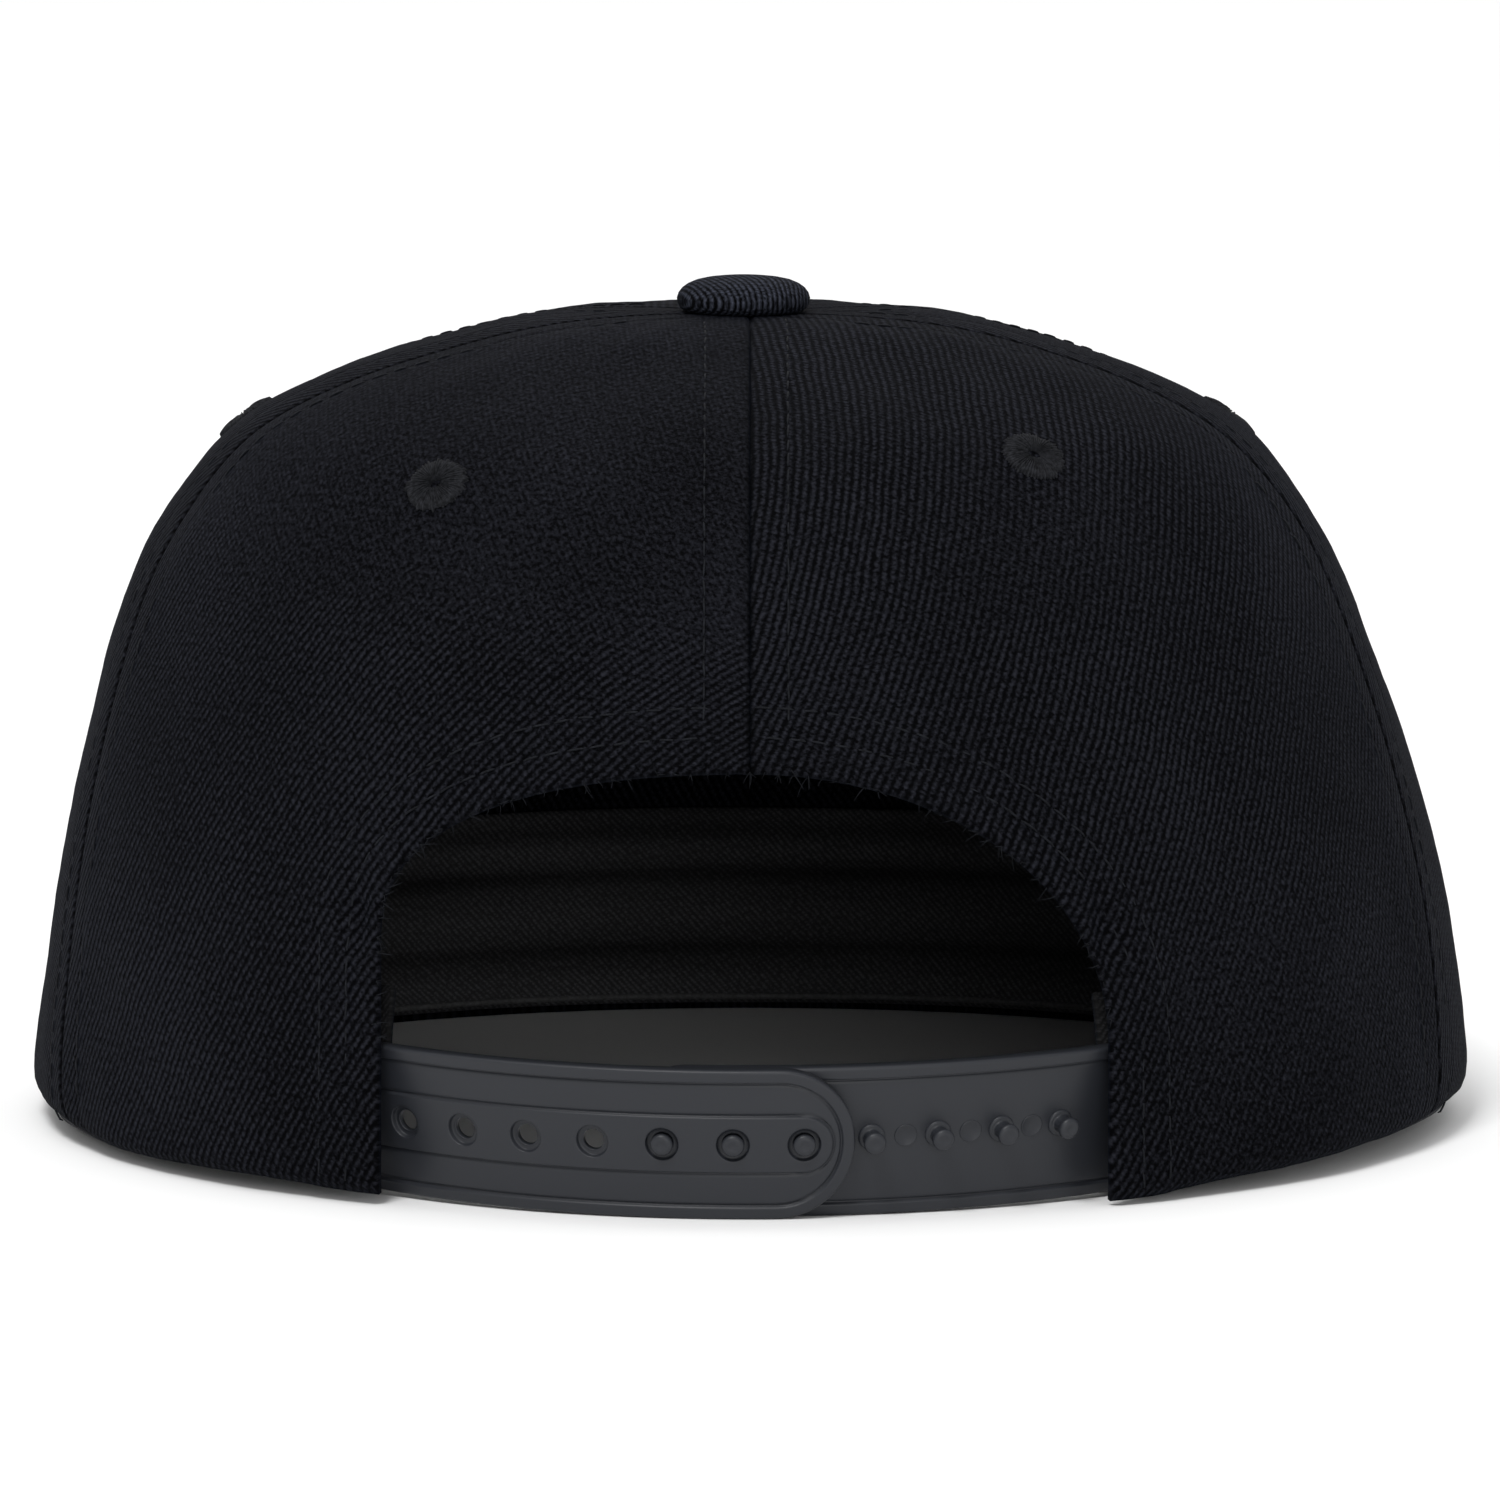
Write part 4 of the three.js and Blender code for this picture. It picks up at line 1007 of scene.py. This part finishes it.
def strap_relief(along, above, tip, last_hole):
    """How far each point of a strap's face stands below its rim, which is level 0."""
    half = STRAP_HEIGHT / 2
    past = np.maximum(along - (tip - half), 0)
    from_edge = half - np.hypot(past, above)
    level = -STRAP_FIELD * smooth_step((from_edge - STRAP_RIM) / RIM_STEP + 0.5)
    level = level - RIM_GROOVE * np.exp(-((from_edge - STRAP_RIM - GROOVE_OFFSET) / GROOVE_WIDTH) ** 2)
    level = level - roll(from_edge, RIM_ROUNDING, RIM_ROUNDING)
    if last_hole is not None:
        in_band = STRAP_BAND_HEIGHT / 2 - np.hypot(np.maximum(along - last_hole, 0), above)
        level = level + (STRAP_FIELD - BAND_LEVEL) * smooth_step(in_band / BAND_STEP + 0.5)
        level = level - BAND_GROOVE * np.exp(-((in_band + GROOVE_OFFSET) / GROOVE_WIDTH) ** 2)
    return level


def stepped(*stretches):
    """Places along a line, from stretches of (start, end, number of cells)."""
    places = [np.linspace(start, end, cells + 1)[:-1] for start, end, cells in stretches]
    return np.concatenate([*places, [stretches[-1][1]]])


# The mesh has a square block round each hole, and rows close together where the relief steps.
BLOCK_HALF = 2.7 * MM
BLOCK_CELLS = 16
CELL_LENGTH = 0.9 * MM
TIP_COLUMNS = 44
# Radius and level of each ring from the face into a countersunk hole, in mm.
HOLE_RINGS = [(2.5, 0), (2.36, -0.01), (2.26, -0.05), (2.2, -0.16), (2.17, -0.66), (2.1, -0.76), (1.6, -0.76),
              (1.5, -0.73), (1.45, -0.82), (1.45, -1.2)]


def strap_shape(root, tip, holes):
    """A strap lying flat, its root at the left and its round end at the right, with its holes."""
    half = STRAP_HEIGHT / 2
    upper = stepped((BLOCK_HALF, 3.6 * MM, 4), (3.6 * MM, 4.2 * MM, 6), (4.2 * MM, 8.3 * MM, 14),
                    (8.3 * MM, 9.3 * MM, 8), (9.3 * MM, 10 * MM, 2), (10 * MM, half, 5))
    rows = np.concatenate([-upper[::-1], stepped((-BLOCK_HALF, BLOCK_HALF, BLOCK_CELLS))[1:-1], upper])
    block_row = len(upper) - 1
    stretches = []
    block_columns = []
    place = root
    for hole in holes:
        between = max(int((hole - BLOCK_HALF - place) / CELL_LENGTH), 2)
        stretches.append((place, hole - BLOCK_HALF, between))
        block_columns.append(sum(cells for _, _, cells in stretches))
        stretches.append((hole - BLOCK_HALF, hole + BLOCK_HALF, BLOCK_CELLS))
        place = hole + BLOCK_HALF
    if not holes:
        stretches.append((root, tip - half, int((tip - half - root) / CELL_LENGTH)))
        place = tip - half
    round_end = place + (tip - place) * np.sin(np.linspace(0, math.pi / 2, TIP_COLUMNS))
    columns = np.concatenate([stepped(*stretches)[:-1], round_end])
    past = np.clip(columns - (tip - half), 0, half)
    squeeze = np.maximum(np.sqrt(np.maximum(half * half - past * past, 0)), 0.05 * MM) / half
    along = np.repeat(columns[:, None], len(rows), 1)
    above = rows[None, :] * squeeze[:, None]
    width = len(rows)
    index = np.arange(along.size).reshape(along.shape)
    faces = []
    in_block = np.zeros((len(columns) - 1, width - 1), bool)
    for column in block_columns:
        in_block[column:column + BLOCK_CELLS, block_row:block_row + BLOCK_CELLS] = True
    for i, j in zip(*np.nonzero(~in_block)):
        faces.append([index[i, j], index[i + 1, j], index[i + 1, j + 1], index[i, j + 1]])
    level = strap_relief(along, above, tip, holes[-1] if holes else None)
    front = np.stack([along.ravel(), above.ravel(), level.ravel()], 1)
    back = front.copy()
    back[:, 2] = -STRAP_THICKNESS
    total = len(front)
    points = [front, back]
    back_faces = [[corner + total for corner in face][::-1] for face in faces]
    rim = list(index[:, 0]) + list(index[-1, 1:]) + list(index[-2::-1, -1]) + list(index[0, -2:0:-1])
    walls = [[a, a + total, b + total, b] for a, b in zip(rim, rim[1:] + rim[:1])]
    every_face = faces + back_faces + walls
    start = 2 * total
    for hole, column in zip(holes, block_columns):
        last_column = column + BLOCK_CELLS
        last_row = block_row + BLOCK_CELLS
        loop = (list(index[column:last_column, block_row]) + list(index[last_column, block_row:last_row])
                + list(index[last_column:column:-1, last_row]) + list(index[column, last_row:block_row:-1]))
        count = len(loop)
        edge = front[loop]
        turn = np.arctan2(edge[:, 1], edge[:, 0] - hole)
        previous = np.array(loop)
        for radius, depth in HOLE_RINGS:
            ring = np.stack([hole + radius * MM * np.cos(turn), radius * MM * np.sin(turn),
                             np.full(count, depth * MM - BAND_LEVEL)], 1)
            points.append(ring)
            current = start + np.arange(count)
            start += count
            every_face.extend([[previous[k], previous[(k + 1) % count], current[(k + 1) % count], current[k]]
                               for k in range(count)])
            previous = current
        ring = np.stack([hole + HOLE_RADIUS * np.cos(turn), HOLE_RADIUS * np.sin(turn),
                         np.full(count, -STRAP_THICKNESS)], 1)
        points.append(ring)
        current = start + np.arange(count)
        start += count
        outer = np.array(loop) + total
        for k in range(count):
            after = (k + 1) % count
            every_face.append([previous[k], previous[after], current[after], current[k]])
            every_face.append([current[k], current[after], outer[after], outer[k]])
    return np.concatenate(points), every_face


# Moulded polyethylene, matt charcoal, with a fine satin grain from the mould that scatters its shine.
MOULD_GRAIN = 0.385 * MM
GRAIN_DEPTH = 0.03 * MM
strap_plastic = blank_material("satin_charcoal_plastic")
grain_place = add_node(strap_plastic, "ShaderNodeTexCoord")
mould_grain = add_node(strap_plastic, "ShaderNodeTexNoise", {"Scale": 1 / MOULD_GRAIN, "Detail": 2.0},
                       {"Vector": grain_place.outputs["Object"]})
mould_bump = add_node(strap_plastic, "ShaderNodeBump", {"Strength": 0.35, "Distance": GRAIN_DEPTH},
                      {"Height": mould_grain.outputs["Fac"]})
plastic_shader = add_node(strap_plastic, "ShaderNodeBsdfPrincipled",
                          {"Base Color": linear("#222429"), "Roughness": 0.45, "IOR": 1.49,
                           "Specular IOR Level": 0.35},
                          {"Normal": mould_bump.outputs[0]})
add_node(strap_plastic, "ShaderNodeOutputMaterial", links={"Surface": plastic_shader.outputs[0]})

left_arc = strap_arc(-1, 0)
right_arc = strap_arc(1, STRAP_THICKNESS + SNAP_PLAY)
last_hole = left_arc[0] * math.asin(LAST_HOLE_X / left_arc[0])
hole_places = [last_hole - SNAP_PITCH * i for i in range(SNAP_COUNT - 1, -1, -1)]
left_root = left_arc[0] * math.asin((-ARCH_SIDES[-1][0] * ARCH_HALF_WIDTH - STRAP_ROOT) / left_arc[0])
points, faces = strap_shape(left_root, last_hole + STRAP_TIP, hole_places)
left_strap = make_piece("closure_strap_left", bend_strap(points, left_arc), faces, strap_plastic)
dress(left_strap, "strap_plastic", "strap_left")

# The right strap is the same moulding turned round: its round end points left, under the other strap.
right_root = right_arc[0] * math.asin((ARCH_SIDES[1][0] * ARCH_HALF_WIDTH + STRAP_ROOT) / right_arc[0])
first_closed = hole_places[SNAP_COUNT - SNAPS_CLOSED]
peg_places = []
for i in range(SNAP_COUNT):
    head_x = left_arc[0] * math.sin((first_closed + SNAP_PITCH * i) / left_arc[0])
    peg_places.append(right_arc[0] * math.asin(head_x / (right_arc[0] + PEG_REACH)))
right_tip = peg_places[0] - STRAP_TIP
points, faces = strap_shape(-right_root, -right_tip, [])
points[:, 0] = -points[:, 0]
right_strap = make_piece("closure_strap_right", bend_strap(points, right_arc), faces, strap_plastic)
dress(right_strap, "strap_plastic", "strap_right")

# Each peg is moulded on the right strap: it stands on a low collar and ends in a flat head with a bevelled
# edge. A round mark between two pegs shows where a pin pushed the strap out of its mould. The profiles are
# radius and height, in mm, from the top down.
PEG_PROFILE = [(0, 2.96), (0.5, 2.96), (0.6, 3.0), (1.0, 3.0), (1.22, 2.93), (1.4, 2.78), (1.5, 2.6),
               (1.52, 2.3), (1.44, 2.12), (1.26, 2.04), (1.18, 1.8), (1.18, 0.55), (1.24, 0.42), (1.5, 0.38),
               (1.74, 0.32), (1.84, 0.16), (1.86, -0.3)]
MARK_PROFILE = [(0, 0.03), (1.3, 0.03), (1.4, 0.11), (1.5, 0.12), (1.56, 0.08), (1.58, -0.1)]
MARK_SHIFT = 0.1 * MM
PEG_SIDES = 48
pegs = Gathered()


def add_to_strap(gathered, profile, along):
    """A turned shape that stands on the field of the right strap."""
    points, faces = lathe([(r * MM, z * MM) for r, z in profile], PEG_SIDES)
    foot = np.array([along, PEG_RISE, -STRAP_FIELD])
    step = 0.1 * MM
    place, beside, above = bend_strap(np.array([foot, foot + [step, 0, 0], foot + [0, step, 0]]), right_arc)
    across = (beside - place) / np.linalg.norm(beside - place)
    upward = (above - place) / np.linalg.norm(above - place)
    gathered.add(stand_on(points, place, across, upward, np.cross(across, upward)), faces)


for place in peg_places:
    add_to_strap(pegs, PEG_PROFILE, place)
for first, second in zip(peg_places[2:-1], peg_places[3:]):
    add_to_strap(pegs, MARK_PROFILE, (first + second) / 2 + MARK_SHIFT)
peg_piece = pegs.piece("snap_pegs", strap_plastic)
dress(peg_piece, "strap_plastic")

# The sweatband: a plain band of finer twill, sewn round the inside of the rim and creased lengthwise by
# wear. Its ends lie behind the straps' roots. Painted shade darkens its ends and its creases, painted
# highlights lighten two folds, and its colour is a little lighter along its lower edge.
SWEATBAND_HEIGHT = 29 * MM
SWEATBAND_THICKNESS = 1.4 * MM
SWEATBAND_HANG = 2.2 * MM
SWEATBAND_END_SHOWS = {-1: 2.6 * MM, 1: 2.9 * MM}
SWEATBAND_LAP = 7 * MM
SWEATBAND_TURN = 12 * MM
BAND_COLUMNS = 260
BAND_ROWS = 44
# Height, spread and depth of each crease, and height, spread and strength of the painted highlight along each
# fold, in mm.
CREASES = ((18.8, 1.2, 1.1), (7.1, 1.1, 0.9), (25.6, 1.5, 0.7))
PAINTED_FOLD_HIGHLIGHTS = ((12.5, 2.4, 0.3), (22.3, 1.8, 0.3))
CREASE_WAVER = 0.5 * MM
BAND_RIPPLE = 0.22 * MM
BAND_RIPPLE_PITCH = 24.17 * MM
# Cotton twill, finer and warmer than the crown's and hardly brushed, so that it looks smooth and matt.
# Its colours are painted several times paler than the crown's black, as painted light for the dim hollow
# inside the crown.
band_twill = twill_material("warm_black_band_twill", "#2b2b2c", "#464648", 0.75 * MM, 0.55 * MM,
                            math.radians(-42), 0.08 * MM, ("tone",))


def strap_back_depth(side, x, up):
    """How deep under the crown's face the back of a strap lies."""
    radius, centre_y = left_arc if side < 0 else right_arc
    turn = np.arcsin(np.clip(x / (RINGS[1, 2] * CROWN_HALF_WIDTH), -1, 1))
    on_crown = crown_surface(turn, up)
    strap_turn = np.arcsin(x / radius)
    middle = STRAP_HEIGHT / 2 + STRAP_SAG * (x / ARCH_HALF_WIDTH) ** 2
    z = np.clip(on_crown[..., 2], middle - STRAP_HEIGHT / 2, middle + STRAP_HEIGHT / 2)
    reach = radius - STRAP_THICKNESS + STRAP_DRIFT * (z - middle)
    back = np.stack([reach * np.sin(strap_turn), centre_y - reach * np.cos(strap_turn), z], -1)
    return ((on_crown - back) * crown_frame(turn, up)[2]).sum(-1)


def sweatband_depth(angle, up):
    """How deep under the crown's face the band lies: behind the straps' roots, then along the gores."""
    side = np.where(angle < 0, -1, 1)
    x = RINGS[1, 2] * CROWN_HALF_WIDTH * np.sin(np.minimum(np.abs(angle), math.pi / 2))
    root = np.where(side < 0, ARCH_SIDES[-1][0], ARCH_SIDES[1][0]) * ARCH_HALF_WIDTH + STRAP_ROOT
    held = np.minimum(x, root)
    left = strap_back_depth(-1, -held, up)
    right = strap_back_depth(1, held, up)
    on_root = np.where(side < 0, left, right) + 2 * STRAP_TUCK
    share = smooth_step((x - root - SWEATBAND_LAP) / SWEATBAND_TURN)
    return on_root * (1 - share) + (PANEL_THICKNESS + 0.5 * MM) * share


def sweatband_end(side):
    """The angle at which the band ends, a little way inside the arch."""
    shows = side * (ARCH_SIDES[side][0] * ARCH_HALF_WIDTH - SWEATBAND_END_SHOWS[side])
    up = np.array(up_at_height(SWEATBAND_HEIGHT / CROWN_HEIGHT))
    angle = np.array(math.asin(shows / (RINGS[1, 2] * CROWN_HALF_WIDTH)))
    for _ in range(30):
        end = crown_point(angle, up, sweatband_depth(angle, up) + SWEATBAND_THICKNESS)
        angle = angle + (shows - end[0]) / CROWN_HALF_WIDTH
    return float(angle)


def signed_angle(turns):
    """Angles from the back, right of it positive, from turns that run round by the left side."""
    return np.where(turns <= math.pi, -turns, 2 * math.pi - turns)


first_turn = abs(sweatband_end(-1))
last_turn = 2 * math.pi - sweatband_end(1)
round_turns = np.linspace(first_turn, last_turn, BAND_COLUMNS + 1)
near_end = np.minimum(round_turns - first_turn, last_turn - round_turns)[None, :]
heights = np.linspace(-SWEATBAND_HANG, SWEATBAND_HEIGHT, BAND_ROWS + 1)
angle = np.repeat(signed_angle(round_turns)[None, :], BAND_ROWS + 1, 0)
up = np.repeat(up_at_height(np.maximum(heights, 0) / CROWN_HEIGHT)[:, None], BAND_COLUMNS + 1, 1)
height_grid = np.repeat(heights[:, None], BAND_COLUMNS + 1, 1)
depth = sweatband_depth(angle, up)
waver = CREASE_WAVER * np.sin(3.1 * angle + 0.7)
crease = BAND_RIPPLE * np.sin(9 * angle) * np.sin(2 * math.pi * height_grid / BAND_RIPPLE_PITCH)
for level, spread, crease_depth in CREASES:
    crease -= crease_depth * MM * np.exp(-((height_grid - level * MM - waver) / (spread * MM)) ** 2)
crease = crease * np.clip(near_end / 0.3, 0, 1)
# Painted shade darkens the creases, the colour is a little lighter over the lowest 5 mm, painted highlights
# lighten the folds, and painted shade darkens both ends.
tone = 1.0 + 0.5 * crease / (1.1 * MM) + 0.5 * smooth_step(1 - height_grid / (5 * MM))
for side, (level, spread, strength) in zip((-1, 1), PAINTED_FOLD_HIGHLIGHTS):
    tone += strength * np.exp(-((height_grid - level * MM + side * waver) / (spread * MM)) ** 2)
tone = np.clip(tone, 0.2, 2.2) * (0.3 + 0.7 * smooth_step(near_end / 0.08))
edge_round = roll(np.minimum(height_grid - heights[0], heights[-1] - height_grid), 0.7 * MM, 0.5 * MM)


def front_share(angle):
    """0 beside the arch and 1 in front, where the band hangs below the rim."""
    return smooth_step((np.abs(angle) - math.radians(50)) / math.radians(40))


hang = np.stack([0 * depth, 0 * depth, np.minimum(height_grid, 0) * front_share(angle)], -1)
inner = crown_point(angle, up, depth + SWEATBAND_THICKNESS + crease - edge_round) + hang
outer = crown_point(angle, up, depth + np.minimum(crease, 0)) + hang
run = np.concatenate([[0], np.cumsum(np.linalg.norm(np.diff(inner[0], axis=0), axis=1))])
rise = np.linalg.norm(np.diff(inner, axis=0), axis=2)
rise = np.concatenate([np.zeros((1, BAND_COLUMNS + 1)), np.cumsum(rise, axis=0)])
flat = np.stack([np.repeat(run[None, :], BAND_ROWS + 1, 0), rise], -1)
band_piece = make_wall("sweatband_cloth", outer, inner, band_twill, flat, {"tone": tone})
dress(band_piece, "sweatband_twill", "sweatband")

# The binding: a narrow tape folded over the band's lower edge and stitched down, its colour painted a shade
# paler than the band as a painted highlight along the edge. It follows the band from end to end.
BINDING_STEPS = 240
BINDING_RADIUS = 0.45 * MM
BINDING_RISE = 0.4 * MM
BINDING_HANG = 1.7 * MM
BINDING_SHORT = 0.02
binding_turns = np.linspace(first_turn + BINDING_SHORT, last_turn - BINDING_SHORT, BINDING_STEPS)
binding_angle = signed_angle(binding_turns)
at_rim = np.zeros(BINDING_STEPS)
binding_depth = sweatband_depth(binding_angle, at_rim) + SWEATBAND_THICKNESS
points = crown_point(binding_angle, at_rim, binding_depth)
points[:, 2] += BINDING_RISE - BINDING_HANG * front_share(binding_angle)
body, faces = tube_along(points, crown_frame(binding_angle, at_rim)[2],
                         np.full(BINDING_STEPS, BINDING_RADIUS), 8)
# Cotton tape, a little smoother than the band. Its paler colour is a painted highlight, so that it shows as
# one thin light line.
binding_tape = thread_material("charcoal_binding_tape", "#454546", "#5c5c5d", 0.8)
binding_piece = make_piece("sweatband_binding", body, faces, binding_tape)
dress(binding_piece, "sweatband_twill")

# The visor: a flat plastic board covered in the same twill on both faces, sewn down in eight rows that
# follow its edge, and set into the rim's seam under the two front gores. It lies on the surface.
VISOR_THICKNESS = 2.9 * MM
VISOR_REACH = 70 * MM
VISOR_HALF_WIDTH = 97 * MM
VISOR_SQUARENESS = 2.35
VISOR_START = math.radians(117)
VISOR_COLUMNS = 160
VISOR_ROWS = 40
VISOR_STITCH_ROWS = 8
VISOR_STITCH_GAP = 6.6 * MM
VISOR_STITCH_MARGIN = 3 * MM
UNDERSIDE_LIFT = 0.15 * MM
UNDERSIDE_STITCH_SINK = 0.1 * MM

turns = math.pi * np.linspace(0, 1, VISOR_COLUMNS + 1)
root = crown_surface(np.array(VISOR_START), np.array(0.0))
tip_y = crown_surface(np.array(math.pi), np.array(0.0))[1] + VISOR_REACH
wide = np.sign(np.cos(turns)) * np.abs(np.cos(turns)) ** (2 / VISOR_SQUARENESS)
deep = np.maximum(np.sin(turns), 0) ** (2 / VISOR_SQUARENESS)
half_width = root[0] + (VISOR_HALF_WIDTH - root[0]) * deep
outer_edge = np.stack([half_width * wide, root[1] + (tip_y - root[1]) * deep], 1)
inner_turn = VISOR_START + (2 * math.pi - 2 * VISOR_START) * np.linspace(0, 1, VISOR_COLUMNS + 1)
inner_angle = -signed_angle(inner_turn)
inner_edge = crown_point(inner_angle, np.zeros(VISOR_COLUMNS + 1), PANEL_THICKNESS)[:, :2]
share = 1 - (1 - np.linspace(0, 1, VISOR_ROWS + 1)) ** 1.8
flat = inner_edge[None] * (1 - share[:, None, None]) + outer_edge[None] * share[:, None, None]
from_edge = np.linalg.norm(flat - outer_edge[None], axis=-1)
rounding = roll(from_edge, VISOR_THICKNESS / 2, VISOR_THICKNESS / 2)
top = np.concatenate([flat, (VISOR_THICKNESS - rounding)[..., None]], -1)
bottom = np.concatenate([flat, np.maximum(rounding, UNDERSIDE_LIFT)[..., None]], -1)
visor_piece = make_wall("visor_cloth", top, bottom, crown_twill, flat, {"tone": np.ones_like(from_edge)})
dress(visor_piece, "crown_twill", "visor")

visor_stitches = Gathered()
across_visor = np.linalg.norm(outer_edge - inner_edge, axis=1)
for row in range(VISOR_STITCH_ROWS):
    distance = VISOR_STITCH_GAP * (row + 0.9)
    kept = across_visor > distance + VISOR_STITCH_MARGIN
    place = outer_edge + (inner_edge - outer_edge) * (distance / np.maximum(across_visor, 1e-6))[:, None]
    for level, facing in ((VISOR_THICKNESS, 1), (0.0, -1)):
        places = np.concatenate([place[kept], np.full((kept.sum(), 1), level)], 1)
        normals = np.tile([0.0, 0.0, float(facing)], (kept.sum(), 1))
        lift = 0.0 if facing > 0 else -STITCH_SINK - UNDERSIDE_STITCH_SINK
        add_stitches(visor_stitches, places + normals * lift, normals, random)
visor_stitch_piece = visor_stitches.piece("visor_stitches", seam_thread)
dress(visor_stitch_piece, "eyelet_thread")
